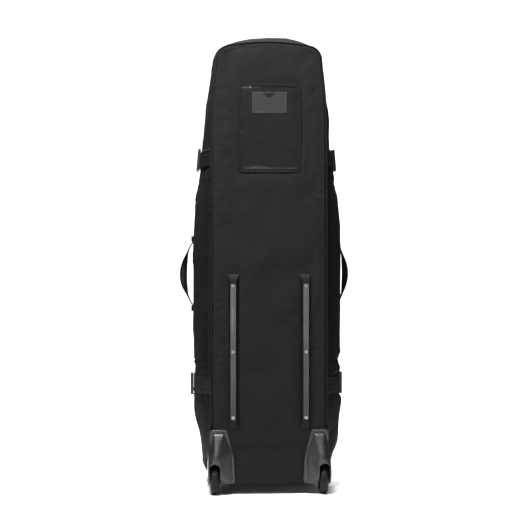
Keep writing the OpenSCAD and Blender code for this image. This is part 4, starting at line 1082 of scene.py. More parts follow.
class CASE_OT_back(CaseOperator, bpy.types.Operator):
    """Padded back panel with its gathers, kick seams and hard-wearing patch"""
    bl_idname = "travel_case.back"
    bl_label = "Back panel"

    def execute(self, context):
        s, skin = self.s, skin_of(self.s)
        kick = (0.129, 0.137)

        def relief(x, z, edge):
            along = z + 0.3 * np.abs(x)
            pull = gather(along, edge, 3, 0.020, 0.017) * ease(z, 0.19, 0.3)
            soft = waves(x, z, 0.16, 5, 9, (1.4, 1.0)) * s.sag * 0.5 + waves(x, z, 0.05, 6, 9,
                                                                             (1.3, 0.8)) * 0.0003
            fold = creases(x, z, 0.13, 8, 0.2, (0.7, 1.6)) * 0.0011
            free = ease(edge, 0.004, 0.03) * (1 - 0.8 * ease(-np.abs(np.abs(x) - 0.1015), -0.022, -0.012)
                                              * ease(z, 0.17, 0.2) * ease(-z, -0.63, -0.6))
            seam = sum(np.exp(-((z - k) / 0.0024) ** 2) for k in kick) * (np.abs(x) < 0.112)
            quilt = np.exp(-((z - 0.133) / 0.018) ** 2) * np.sin(x * 2 * math.pi / 0.019) * 0.0005
            frame_edge = np.maximum(np.abs(x) - 0.089, np.abs(z - 1.019) - 0.125)
            ring = gather(x + z, frame_edge, 12, 0.012, 0.014) * (frame_edge > 0)
            under = (np.abs(x) < 0.092) & (z < 0.13)
            lift = pull * s.pucker * ease(edge, 0.0005, 0.006) + free * (soft + fold) - 0.0024 * seam + quilt
            lift = lift + 0.0005 * ring - 0.0015 * np.exp(-edge / 0.004)
            lift = np.where(under, np.minimum(lift, 0.0), lift)
            hard_under = (z < 0.185) & (np.abs(x) > 0.093)
            lift = np.where(hard_under, -0.0004, lift)
            inside = frame_edge < 0.004
            return np.where(inside, np.minimum(lift * 0.3, 0.0), np.minimum(lift, 0.0030))

        obj, edge = panel("back_panel_cloth", outline_at(skin, 0.0), low("back_panel").z,
                          high("back_panel").z,
                          BACK_Y, -1, relief, 0.0042)
        co = np.array([v.co for v in obj.data.vertices])
        firm = (np.abs(np.abs(co[:, 0]) - 0.1015) < 0.02) & (co[:, 2] > 0.17) & (co[:, 2] < 0.63)
        firm |= (np.abs(co[:, 0]) < 0.094) & (np.abs(co[:, 2] - 1.019) < 0.13)
        firm |= co[:, 2] < 0.19
        hold = np.clip(1 - (edge - 0.004) / 0.01, 0, 1)
        hold[firm] = 1.0
        coat(obj, "polyester_600d_weave", "coated_nylon_lining")
        settle(obj, hold, 1.5, 0.012, 0.0035)
        thicken(obj, s.wall - 0.0008)
        ready(obj, "case", "case_fabric", "back_panel", fill=0.35)

        def patch_relief(x, z, edge):
            return 0.0010 + 0.00025 * np.sin(x * 2 * math.pi / 0.016) * np.exp(-edge / 0.008)
        lo, hi = low("base_wrap"), high("base_wrap")
        ring = [(0.0, 0.0002), (0.0, 0.0011), (0.0008, 0.0014), (0.003, 0.0011), (0.007, 0.0015),
                (0.02, 0.0014),
                (0.04, 0.0014)]
        patch = ring_stack("base_patch", ((lo.x + hi.x) / 2, BACK_Y, (lo.z + hi.z) / 2), (hi.x - lo.x) / 2,
                           (hi.z - lo.z) / 2, 0.004, ring, -1)
        coat(patch, "ballistic_nylon_weave")
        box_uv(patch)
        ready(patch, "case", "base_fabric", "base_wrap")
        return {"FINISHED"}


class CASE_OT_walls(CaseOperator, bpy.types.Operator):
    """Side walls and crown as one run of padded cloth, with a lining inside"""
    bl_idname = "travel_case.walls"
    bl_label = "Side walls and crown"

    def execute(self, context):
        s, skin = self.s, skin_of(self.s)
        split = 0.0653 / 0.202 * 0.97
        shares = np.concatenate([np.linspace(0, split, 16), np.linspace(split, 1, 32)[1:]])

        def depth(z):
            first, last = np.full(z.shape, s.wall + 0.0002), skin.body_edge(z)
            return first, last, shares

        def lift(a, t, z, first, last):
            seam = np.minimum(t - first, last - t)
            back_pull = gather(a, t - first, 21, 0.024, 0.015) * (0.8 + 0.6 * ease(z, 0.75, 0.95) * (a > 0))
            front_pull = gather(a, last - t, 25, 0.016, 0.012)
            strapped = np.exp(-((z - 0.937) / 0.030) ** 2) + np.exp(-((z - 0.301) / 0.030) ** 2)
            dent = strapped * np.exp(-((t - 0.085) / 0.05) ** 2)
            soft = waves(a, t, 0.17, 31, 9, (1.0, 1.4)) * s.sag
            fold = creases(a, t, 0.12, 33, 0.2, (1.5, 0.8)) * 0.0022 + creases(a, t, 0.07, 37, 0.16,
                                                                               (0.8, 1.2)) * 0.0009
            free = ease(seam, 0.002, 0.035) * (1 - np.clip(strapped, 0, 1) * 0.9)
            hardware = (np.abs(z - 0.613) < 0.125) & (t > 0.14)
            pocket = (z > 0.36) & (z < 0.88) & (t > 0.024) & (t < 0.150)
            free = np.where(hardware | pocket, free * 0.1, free)
            middle = ease(t - first, 0.0, 0.05) * ease(last - t, 0.0, 0.05)
            slack = (0.0115 * ease(z, 1.225, 1.270) + ease(z, 0.88, 0.93) * (1 - ease(z, 1.20, 1.26))
                     * np.where(a < 0, 0.0075, 0.0035)) * middle * (1 - np.clip(strapped, 0, 1))
            cinched = ease(np.abs(z - 0.301), 0.027, 0.045)
            slack = slack - ease(z, 0.07, 0.15) * (1 - ease(z, 0.33, 0.362)) * middle * cinched * np.where(
                a < 0, -0.0045, 0.0085)
            welt = 0.0014 * np.exp(-((t - first - 0.005) / 0.0035) ** 2)
            groove = 0.0016 * np.exp(-((t - first - 0.0105) / 0.0014) ** 2)
            out = (back_pull + 0.6 * front_pull) * s.pucker * 1.3 * ease(seam, 0.0005,
                                                                         0.006) * (~pocket | (t < 0.02))
            low_part = ease(z, 0.05, 0.11)
            return np.minimum((out + free * (soft * 0.8 + fold * 1.3 - 0.0010)) * low_part
                              + (welt - groove) * low_part
                              - 0.0006 * dent, np.where(pocket | hardware, 0.0, 0.0045)) - slack

        arcs = side_arcs(skin, 0.0046)
        obj = shell("side_walls_cloth", skin, arcs, depth, lift, in_well)
        co = np.array([v.co for v in obj.data.vertices])
        t = co[:, 1] - BACK_Y
        z = co[:, 2]
        edge = np.minimum(t - s.wall, skin.body_edge(z) - t)
        hold = np.clip(1 - (edge - 0.004) / 0.014, 0, 1)
        firm = (z < 0.11) | (np.abs(z - 0.937) < 0.028) | (np.abs(z - 0.301) < 0.028)
        firm |= (z > 0.365) & (z < 0.875) & (t > 0.026) & (t < 0.150) & (np.abs(co[:, 0]) > 0.12)
        firm |= (np.abs(z - 0.613) < 0.125) & (t > 0.14) & (np.abs(co[:, 0]) > 0.12)
        hold[firm] = 1.0
        coat(obj, "polyester_side_weave", "coated_nylon_lining")
        settle(obj, hold, 1.6, 0.02, 0.004)
        thicken(obj, s.wall - 0.0010)
        ready(obj, "case", "case_fabric", "left_gusset", "right_gusset", "top_gusset", fill=0.3)
        return {"FINISHED"}


class CASE_OT_base(CaseOperator, bpy.types.Operator):
    """Base tub, front skirt, stiffening boards and feet"""
    bl_idname = "travel_case.base"
    bl_label = "Base"

    def execute(self, context):
        s, skin = self.s, skin_of(self.s)
        start = float(np.interp(-0.0462, -skin.rows[700:, 1], skin.arcs[700:]))
        x_cut = float(np.interp(-0.1257, -skin.rows[1200:, 0], skin.arcs[1200:]))
        half = np.concatenate([np.linspace(start, x_cut, 9), np.linspace(x_cut, skin.length, 30)[1:]])
        width = s.depth - 2 * s.wall - 0.0006
        share = (0.0653 - s.wall) / width
        shares = np.concatenate([np.linspace(0, share, 10), np.linspace(share, 1, 40)[1:]])

        def depth(z):
            return np.full(z.shape, s.wall + 0.0002), np.full(z.shape, s.depth - s.wall - 0.0004), shares

        def lift(a, t, z, first, last):
            return (waves(a, t, 0.12, 71) * 0.0005 - 0.0004) * ease(np.minimum(t - first, last - t), 0.0,
                                                                    0.03)

        sides = []
        for sign in (1, -1):
            arcs = half * sign if sign > 0 else -half[::-1]
            sides.append(shell("base_half", skin, arcs, depth, lift, in_well))
            coat(sides[-1], "ballistic_nylon_weave", "coated_nylon_lining")
            thicken(sides[-1], s.wall - 0.0008)
        tub = merge("base_tub", sides)
        ready(tub, "case", "base_fabric", "base_panel")

        def relief(x, z, edge):
            return waves(x, z, 0.1, 74) * 0.0006 * ease(edge, 0, 0.02) - 0.0006
        skirt, _ = panel("front_skirt_cloth", outline_at(skin, s.depth), low("front_skirt").z,
                         high("front_skirt").z,
                         FRONT_Y, 1, relief, 0.005)
        coat(skirt, "ballistic_nylon_weave", "coated_nylon_lining")
        thicken(skirt, s.wall - 0.0008)
        ready(skirt, "case", "base_fabric", "front_skirt")
        hard("inner_boards", "case", "board", "ribbed_pp_board", 0.5)
        hard("front_feet", "case", "foot_plastic", "satin_nylon", 1.2, 3)
        hard("inner_straps", "case", "webbing", "polypropylene_webbing", 0.3, 1, True)
        return {"FINISHED"}


class CASE_OT_crown(CaseOperator, bpy.types.Operator):
    """Thick crown pad that guards the club heads"""
    bl_idname = "travel_case.crown"
    bl_label = "Crown pad"

    def execute(self, context):
        skin = skin_of(self.s)
        reach = float(np.interp(-1.2475, -skin.rows[:500, 1], skin.arcs[:500]))
        arcs = np.linspace(-reach, reach, 70)
        t0, t1, out, deep = 0.008, 0.196, -0.0155, 0.0130
        ring = []
        for k in range(56):
            q = 2 * math.pi * k / 56
            c, d = math.cos(q), math.sin(q)
            shape = 1 / max(abs(c) ** 8 + abs(d) ** 8, 1e-9) ** 0.125
            ring.append(((t0 + t1) / 2 + c * shape * (t1 - t0) / 2, out - deep / 2 + d * shape * deep / 2))
        t, o = np.array(ring).T
        fade = 1 - 0.35 * np.abs(arcs / reach)[:, None] ** 6
        tuft = waves(arcs[:, None], t[None], 0.09, 81) * 0.0012
        mid = out - deep / 2
        points = skin.place(arcs[:, None], t[None],
                            mid + (o - mid)[None] * fade + np.where(o < mid, tuft - 0.0012, 0))
        pad = grid("crown_padding", points, np.stack(np.broadcast_arrays(arcs[:, None], t[None]), -1),
                   wrap=True)
        close_ends(pad, len(arcs), len(t))
        coat(pad, "coated_nylon_lining")
        ready(pad, "case", "pad_lining", "crown_pad", fill=0.8)
        return {"FINISHED"}


class CASE_OT_piping(CaseOperator, bpy.types.Operator):
    """Corded piping round the back and the lid"""
    bl_idname = "travel_case.piping"
    bl_label = "Pipings"

    def execute(self, context):
        skin = skin_of(self.s)
        for name, t, z_end, body, node in (("back_piping_cord", 0.0015, 0.1925, "case", "back_piping"),
                                           ("lid_piping_cord", self.s.depth - 0.0025, 0.140, "lid",
                                            "lid_piping")):
            end = skin.arc_at(z_end)
            arcs = np.linspace(-end, end, 720)
            path = skin.place(arcs, t, 0.0026)
            fat = 0.0025 + 0.00012 * waves(arcs, arcs * 0, 0.03, 90)
            cord = tube(name, path, fat, 12)
            coat(cord, "grosgrain_binding")
            ready(cord, body, "piping_cover", node)
        return {"FINISHED"}


class CASE_OT_window(CaseOperator, bpy.types.Operator):
    """Clear label window with its binding and a card sleeve"""
    bl_idname = "travel_case.window"
    bl_label = "Label window"

    def execute(self, context):
        lo, hi = low("window_binding"), high("window_binding")
        centre = ((lo.x + hi.x) / 2, BACK_Y, (lo.z + hi.z) / 2)
        half_x, half_z = (hi.x - lo.x) / 2, (hi.z - lo.z) / 2
        width = 0.011

        def ripple(x, z, inset):
            return 0.00022 * np.sin((x + z) * 2 * math.pi / 0.013) * (1 if inset in (0.002, 0.009) else 0)
        rows = [(0.0, 0.0002), (0.0, 0.0018), (0.0006, 0.0026), (0.002, 0.0030), (0.003, 0.0023),
                (0.0055, 0.0030),
                (0.008, 0.0023), (0.009, 0.0029), (0.0104, 0.0026), (width, 0.0018), (width, 0.0006)]
        binding = ring_stack("window_binding_tape", centre, half_x, half_z, 0.020, rows, -1, ripple,
                             close=False)
        coat(binding, "grosgrain_binding")
        ready(binding, "case", "piping_cover", "window_binding")

        sheet = clear_sheet("clear_vinyl", linear("1e1e20"), 0.38, 0.07, 1.6)
        MATERIALS["clear_vinyl"] = sheet
        lo, hi = low("window_sheet"), high("window_sheet")
        n = 72
        u, v = np.meshgrid(np.linspace(0, 1, n), np.linspace(0, 1, n * 3 // 2))
        x, z = lo.x - 0.001 + (hi.x - lo.x + 0.002) * u, lo.z - 0.001 + (hi.z - lo.z + 0.002) * v
        edge = np.minimum(np.minimum(u, 1 - u) * (hi.x - lo.x), np.minimum(v, 1 - v) * (hi.z - lo.z))
        wave = waves(x, z, 0.075, 61, 9, (1.0, 0.6)) * 0.0009 + waves(x, z, 0.03, 62) * 0.0002
        bow = 0.0022 * (1 - np.exp(-(edge / 0.005) ** 1.3))
        y = BACK_Y - 0.0011 - bow - np.maximum(wave, -0.0012) * ease(edge, 0, 0.02)
        pane = grid("window_pane", np.stack([x, y, z], -1), np.stack([x, z], -1))
        pane.data.materials.append(sheet)
        thicken(pane, 0.0004)
        ready(pane, "case", "clear_window", "window_sheet")

        sleeve = clear_sheet("hazed_card_sleeve", linear("a0a2a4"), 0.19, 0.3, 0.8)
        lo, hi = low("card_pocket"), high("card_pocket")
        n = 61
        u, v = np.meshgrid(np.linspace(0, 1, n), np.linspace(0, 1, 41))
        x, z = lo.x + (hi.x - lo.x) * u, lo.z + (hi.z - lo.z) * v
        y = BACK_Y - 0.0006 - 0.0002 * np.abs(waves(x, z, 0.04, 63))
        notch = hi.z

        def keep(c):
            return (c[:, 0] ** 2 + (c[:, 2] - notch) ** 2) > 0.015 ** 2
        card = grid("card_sleeve_sheet", np.stack([x, y, z], -1), np.stack([x, z], -1), keep)
        card.data.materials.append(sleeve)
        thicken(card, 0.0003)
        weld = []
        frame_x, frame_z, mid = (hi.x - lo.x) / 2, (hi.z - lo.z) / 2, (lo.z + hi.z) / 2
        rim = ring_stack("card_rim", (0, BACK_Y, mid), frame_x, frame_z, 0.002,
                         [(0, 0.0004), (0, 0.0010), (0.0006, 0.0012), (0.0016, 0.0010), (0.0016, 0.0004)], -1,
                         close=False)
        rim.data.materials.append(clear_sheet("welded_vinyl_rim", linear("b0b2b4"), 0.6, 0.25, 0.3))
        weld.append(rim)
        sleeve_all = merge("card_sleeve", [card] + weld)
        ready(sleeve_all, "case", "card_sleeve", "card_pocket")
        return {"FINISHED"}


def zip_side(skin, name, side, arcs, tape_lift=-0.0001):
    """One half of the main zip: its tape and its coil."""
    s = skin.s
    t_in, t_out = s.zip_depth + side * 0.0009, s.zip_depth + side * (s.tape - 0.0002)
    shares = np.linspace(0, 1, 8)
    t = (t_in + (t_out - t_in) * shares)[None]
    a = arcs[:, None]
    lift = tape_lift - 0.0008 + 0.0008 * (np.abs(shares) > 0.3)[None] + 0.00012 * waves(a, t, 0.02, 91)
    tape = grid(name + "_tape", skin.place(a, t, lift), np.stack(np.broadcast_arrays(a, t), -1))
    coat(tape, "zip_tape_twill")
    thicken(tape, 0.0011)
    teeth = repeats(name + "_coil", [skin_line(skin, arcs, s.zip_depth + side * 0.0017, -0.0009)],
                    "nylon_zip_coil",
                    0.0026, 0.0014, 0.0026, 0.0016)
    return merge(name, [tape, teeth])


class CASE_OT_zips(CaseOperator, bpy.types.Operator):
    """Main zip, pocket zips, their end tabs, sliders and pulls"""
    bl_idname = "travel_case.zips"
    bl_label = "Zips"

    def execute(self, context):
        s, skin = self.s, skin_of(self.s)
        end = skin.arc_at(s.bend)
        arcs = np.linspace(-end, end, 900)
        for side, body, node in ((-1, "case", "body_zip"), (1, "lid", "lid_zip")):
            parts = [zip_side(skin, node + "_chain", side, arcs)]
            for sign in (-1, 1):
                a = sign * np.linspace(skin.arc_at(0.264), skin.arc_at(0.244), 10)
                t = s.zip_depth + side * np.linspace(0.0008, 0.0155, 8)
                points = skin.place(a[:, None], t[None],
                                    0.0013 + 0.0002 * np.sin(np.linspace(0, 3.1, 8))[None])
                uv = np.stack(np.broadcast_arrays(a[:, None], t[None]), -1)
                tab = grid("tab", points, uv)
                coat(tab, "polypropylene_webbing")
                parts.append(thicken(tab, 0.0010))
            ready(merge(node + "_assembly", parts), body, "zip_tape", node)
        strips = []
        lines = []
        for sign in (-1, 1):
            a = sign * np.linspace(skin.arc_at(0.864), skin.arc_at(0.374), 110)
            for side in (-1, 1):
                t = 0.139 + side * np.linspace(0.0009, 0.009, 7)
                rise = 0.0008 + 0.0002 * np.cos(np.linspace(0, 3, 7))[None]
                points = skin.place(a[:, None], t[None], rise)
                uv = np.stack(np.broadcast_arrays(a[:, None], t[None]), -1)
                strip = grid("strip", points, uv)
                coat(strip, "zip_tape_twill")
                strips.append(thicken(strip, 0.0008))
                lines.append(skin_line(skin, a, 0.139 + side * 0.0017, 0.0014))
        teeth = repeats("pocket_coils", lines, "nylon_zip_coil", 0.0030, 0.0014, 0.0024, 0.0014)
        ready(merge("side_pocket_zip_set", strips + [teeth]), "case", "zip_tape", "side_pocket_zips")
        lo, hi = low("lid_pocket_zip"), high("lid_pocket_zip")
        mid = (lo.z + hi.z) / 2
        strips, lines = [], []
        for side in (-1, 1):
            x, z = np.meshgrid(np.linspace(hi.x, lo.x, 50), mid + side * np.linspace(0.0009, 0.0095, 6))
            y = np.full(x.shape, lo.y + 0.0008)
            strip = grid("strip", np.stack([x, y, z], -1), np.stack([x, z], -1))
            coat(strip, "zip_tape_twill")
            strips.append(thicken(strip, 0.0007))
            path = np.stack([np.linspace(lo.x, hi.x, 60), np.full(60, lo.y + 0.0012),
                             np.full(60, mid + side * 0.0017)], -1)
            lines.append((path, np.broadcast_to([0, 1, 0], path.shape)))
        teeth = repeats("lid_pocket_coils", lines, "nylon_zip_coil", 0.0030, 0.0014, 0.0024, 0.0014)
        ready(merge("lid_pocket_zip_set", strips + [teeth]), "lid", "zip_tape", "lid_pocket_zip")
        for name in ("left_slider", "right_slider", "left_pull", "right_pull", "left_pocket_slider",
                     "right_pocket_slider", "lid_pocket_slider", "lid_pocket_pull"):
            hard(name, name, "zip_metal", "lacquered_zinc", 0.45)
        return {"FINISHED"}


class CASE_OT_lid(CaseOperator, bpy.types.Operator):
    """Padded lid with its side wall, fold, pocket and handle patches"""
    bl_idname = "travel_case.lid"
    bl_label = "Lid"

    def execute(self, context):
        s, skin = self.s, skin_of(self.s)
        lo, hi = low("lid_panel"), high("lid_panel")
        pocket_lo, pocket_hi = low("lid_pocket"), high("lid_pocket")

        def relief(x, z, edge):
            pull = gather(z + 0.4 * np.abs(x), edge, 51, 0.022, 0.016)
            soft = waves(x, z, 0.18, 52, 9, (1.2, 1.0)) * s.sag * 0.7
            fold = creases(x, z, 0.14, 54, 0.2, (0.8, 1.4)) * 0.0015
            covered = (np.abs(x) < pocket_hi.x + 0.004) & (z > pocket_lo.z - 0.004) & (z < pocket_hi.z
                                                                                       + 0.004)
            covered |= (np.abs(z - 1.137) < 0.022) & (np.abs(np.abs(x) - 0.0785) < 0.028)
            lift = pull * s.pucker + ease(edge, 0.004, 0.04) * (soft + fold) - 0.0016 * np.exp(-edge / 0.005)
            return np.where(covered, np.minimum(lift, -0.0001), np.minimum(lift, 0.0035))
        front, edge = panel("lid_panel_cloth", outline_at(skin, s.depth), lo.z, hi.z, FRONT_Y, 1, relief,
                            0.0048)
        co = np.array([v.co for v in front.data.vertices])
        hold = np.clip(1 - (edge - 0.004) / 0.012, 0, 1)
        hold[(np.abs(co[:, 0]) < 0.13) & (co[:, 2] > 0.295) & (co[:, 2] < 0.83)] = 1.0
        hold[(np.abs(co[:, 2] - 1.137) < 0.025)] = 1.0
        coat(front, "polyester_600d_weave", "coated_nylon_lining")
        settle(front, hold, 1.4, 0.012, 0.004)
        thicken(front, s.wall - 0.0008)
        ready(front, "lid", "case_fabric", "lid_panel", fill=0.35)

        end = skin.arc_at(0.1380)
        bend = skin.arc_at(s.bend)
        half = np.concatenate([np.linspace(0, bend, 236), np.linspace(bend, end, 26)[1:]])
        arcs = np.concatenate([-half[:0:-1], half])

        def depth(z):
            return skin.lid_edge(z), np.full(z.shape, s.depth - s.wall - 0.0002), np.linspace(0, 1, 17)

        def lift(a, t, z, first, last):
            seam = np.minimum(t - first, last - t)
            pull = gather(a, last - t, 57, 0.018, 0.014) + 0.5 * gather(a, t - first, 58, 0.014, 0.012)
            soft = waves(a, t, 0.13, 59, 9, (1.0, 1.3)) * s.sag * 0.6
            return np.minimum((pull * s.pucker * ease(seam, 0.0, 0.005) + soft * ease(seam, 0.002, 0.02)),
                              0.004)
        wall = shell("lid_wall_cloth", skin, arcs, depth, lift)
        coat(wall, "polyester_side_weave", "coated_nylon_lining")
        thicken(wall, s.wall - 0.0010)
        ready(wall, "lid", "case_fabric", "lid_gusset", fill=0.3)

        width = high("front_skirt").x - 0.004
        x, z = np.meshgrid(np.linspace(width, -width, 60), np.linspace(s.hinge - 0.012, s.hinge + 0.012, 17))
        y = FRONT_Y + 0.0008 + 0.0007 * np.exp(-((z - s.hinge) / 0.004) ** 2)
        fold = grid("hinge_fold", np.stack([x, y, z], -1), np.stack([x, z], -1))
        coat(fold, "ballistic_nylon_weave", "coated_nylon_lining")
        thicken(fold, 0.0009)
        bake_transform(fold, "case", "lid", start=(0, FRONT_Y, s.hinge - 0.006), end=(0, FRONT_Y, s.hinge + 0.006))

        centre = (0.0, FRONT_Y, (pocket_lo.z + pocket_hi.z) / 2)
        rise = pocket_hi.y - FRONT_Y
        rows = [(0.0, 0.0003), (0.0, 0.0016), (0.004, 0.0018), (0.0055, 0.0014), (0.007, 0.004),
                (0.0085, rise * 0.42),
                (0.011, rise * 0.70), (0.0145, rise * 0.88), (0.019, rise * 0.97), (0.026, rise * 1.0)]
        rows += [(k, rise * 1.0) for k in (0.034, 0.046, 0.062, 0.082, 0.104, 0.118)]

        def pocket_relief(px, pz, inset):
            soft = waves(px, pz, 0.15, 65) * 0.0014 * min(inset / 0.03, 1) - 0.0014 * min(inset / 0.03, 1)
            side = 0.0010 * np.sin((px + pz) * 2 * math.pi / 0.02) * (0.006 < inset < 0.02)
            near_zip = np.abs(pz + centre[2] - 0.776) < 0.014
            return np.where(near_zip, 0.0, soft * (1 - ease(inset, 0.05, 0.1))) - 0.0007 * ease(inset, 0.05,
                                                                                                0.1) + side
        pocket = ring_stack("lid_pocket_cloth", centre, pocket_hi.x, (pocket_hi.z - pocket_lo.z) / 2, 0.034,
                            rows, 1,
                            pocket_relief)
        coat(pocket, "polyester_600d_weave")
        ready(pocket, "lid", "case_fabric", "lid_pocket", fill=0.3)
        hard("lid_patches", "lid", "webbing", "polypropylene_webbing", 0.5, 2, True)
        return {"FINISHED"}


class CASE_OT_pockets(CaseOperator, bpy.types.Operator):
    """Curved accessory pockets on both side walls"""
    bl_idname = "travel_case.pockets"
    bl_label = "Side pockets"

    def execute(self, context):
        skin = skin_of(self.s)
        for sign, name, node in ((-1, "left_pocket_cloth", "left_side_pocket"),
                                 (1, "right_pocket_cloth", "right_side_pocket")):
            lo, hi = low(node), high(node)
            t0, t1 = lo.y - BACK_Y, hi.y - BACK_Y
            a = np.linspace(skin.arc_at(hi.z), skin.arc_at(lo.z), 120)
            t = np.linspace(t0, t1, 30)
            q = (t - t0) / (t1 - t0)
            z = skin.height(a)[:, None]
            arch = hi.z - 0.006 - 0.055 * (2 * q[None] - 1) ** 2
            mask = ease(arch - z, -0.002, 0.028) * ease(z - lo.z, 0.0, 0.02)
            body = np.sin(np.pi * q)[None] ** 0.7 * 0.0062
            sag = 1 + 0.22 * waves(a[:, None] * sign, t[None], 0.15, 44 + sign) * ease(z - lo.z, 0, 0.1)
            if sign < 0:
                body = body * (0.25 + 0.75 * ease(z, 0.38, 0.52)) * (1 - 0.35 * ease(z, 0.66, 0.74))
            rim = 0.0010 * np.exp(-((arch - z) / 0.006) ** 2)
            crease = creases(a[:, None] * sign, t[None], 0.1, 47 + sign, 0.2, (1.4, 0.7)) * 0.0024
            edge = np.minimum(t - t0, t1 - t)[None]
            lift = 0.0010 + mask * np.minimum(body * sag + crease * ease(edge, 0.002, 0.02), 0.0088) + rim
            lift = lift + gather(a[:, None], edge, 48, 0.012, 0.014) * 0.0007 * mask * ease(edge, 0.0, 0.004)
            points = skin.place(sign * a[:, None], t[None], lift)
            uv = np.stack(np.broadcast_arrays(sign * a[:, None], t[None]), -1)
            obj = grid(name, points, uv)
            coat(obj, "polyester_side_weave", "coated_nylon_lining")
            thicken(obj, 0.0011)
            ready(obj, "case", "case_fabric", node, fill=0.3)
        return {"FINISHED"}


class CASE_OT_straps(CaseOperator, bpy.types.Operator):
    """Compression straps with buckles, side handles and the haul handle"""
    bl_idname = "travel_case.straps"
    bl_label = "Straps and handles"

    def execute(self, context):
        s, skin = self.s, skin_of(self.s)
        for sign, node in ((-1, "left_webbing"), (1, "right_webbing")):
            pieces = []
            for z in (0.937, 0.301):
                a = sign * skin.arc_at(z)
                for t0, t1 in ((s.wall - 0.002, 0.1145), (0.1655, 0.1995)):
                    t = np.linspace(t0, t1, 40)
                    path = skin.place(a, t, 0.0014 + 0.00025 * waves(t, t * 0, 0.03, 95))
                    up = skin.place(a - sign * 0.002, t) - skin.place(a + sign * 0.002, t)
                    web = strap("web", path, up, 0.050, s.wall * 0.3)
                    coat(web, "polypropylene_webbing")
                    pieces.append(web)
            ready(merge(node + "_set", pieces), "case", "webbing", node)
        hard("buckle_sockets", "case", "buckle_plastic", "satin_nylon", 1.1, 3)
        for name in ("left_upper_plug", "left_lower_plug", "right_upper_plug", "right_lower_plug"):
            hard(name, name, "buckle_plastic", "satin_nylon", 0.9, 3)
        hard("handle_patches", "case", "webbing", "polypropylene_webbing", 0.7, 2, True)
        for sign, node in ((-1, "left_handle"), (1, "right_handle")):
            lo, hi = low(node), high(node)
            mid, span = (lo.z + hi.z) / 2, 0.178
            axis_x, axis_t = 0.20997, 0.168
            q = np.linspace(0, 1, 80)
            out = (0.028 if sign < 0 else 0.024) * np.sin(np.pi * q) ** 0.8
            rest = math.radians(18)
            wide = 0.0085 + 0.0165 * ease(out, 0.010, 0.024)
            x = sign * (axis_x + out * math.cos(rest))
            y = BACK_Y + axis_t + out * math.sin(rest)
            z = mid + (q - 0.5) * span
            droop = -0.004 * np.sin(np.pi * q) ** 2
            path = np.stack([x, y, z + droop * (sign < 0)], -1)
            twist = math.radians(40) * np.sin(np.pi * (1 - q)) ** 3 * (1 if sign < 0
                                                                       else 0.55) + math.radians(90)
            turn = np.stack([-sign * math.sin(rest) * np.ones_like(q), math.cos(rest) * np.ones_like(q),
                             0 * q], -1)
            across = turn * np.sin(twist)[:, None] + np.stack([sign * math.cos(rest) * np.ones_like(q),
                                                              math.sin(rest) * np.ones_like(q), 0 * q],
                                                              -1) * np.cos(twist)[:, None]
            grip = strap("grip", path, across, wide, 0.0026)
            coat(grip, "polypropylene_webbing")
            parts = [grip]
            for end in (lo.z + 0.0095, hi.z - 0.0095):
                rod = [(sign * axis_x, BACK_Y + axis_t, end + k) for k in np.linspace(-0.0095, 0.0095, 6)]
                pin = tube("pin", rod, 0.002, 16)
                coat(pin, "zinc_plated_steel")
                parts.append(pin)
            ready(merge(node + "_strap", parts), node, "webbing", node)
        hard("haul_handle", "haul_handle", "webbing", "polypropylene_webbing", 0.9, 3, True)
        return {"FINISHED"}


class CASE_OT_rails(CaseOperator, bpy.types.Operator):
    """Pebbled skid rails and their screws"""
    bl_idname = "travel_case.rails"
    bl_label = "Skid rails"

    def execute(self, context):
        for node in ("left_skid_rail", "right_skid_rail"):
            rail = softened(node, node + "_finished", 1.6 * MM, "pebbled_hdpe", 4)
            coat(rail, "pebbled_hdpe", "unworn_hdpe")
            crest = low(node).y
            # Crest faces take the scratched finish; the flanks take the darker copy, which is painted shade.
            for face in rail.data.polygons:
                crest_face = face.normal.y < -0.93 and face.center.y < crest + 0.0075
                face.material_index = 0 if crest_face else 1
            ready(rail, "case", "rail_plastic", node)
        lo, hi = low("rail_screws"), high("rail_screws")
        mid, step = (lo.z + hi.z) / 2, (hi.z - lo.z - 0.0096) / 2
        places = [(sx * 0.1015, lo.y + 0.0008, mid + k * step) for sx in (-1, 1) for k in (-1, 0, 1)]
        heads = screw_heads("rail_screw_heads", places, (0, -1, 0), 0.0042, "zinc_plated_steel")
        ready(heads, "case", "screw_steel")
        hard("rail_screws", "case", "screw_steel", "zinc_plated_steel", 0.3)
        hard("rail_nuts", "case", "screw_steel", "zinc_plated_steel", 0.4)
        hard("base_screws", "case", "screw_steel", "zinc_plated_steel", 0.3)
        return {"FINISHED"}


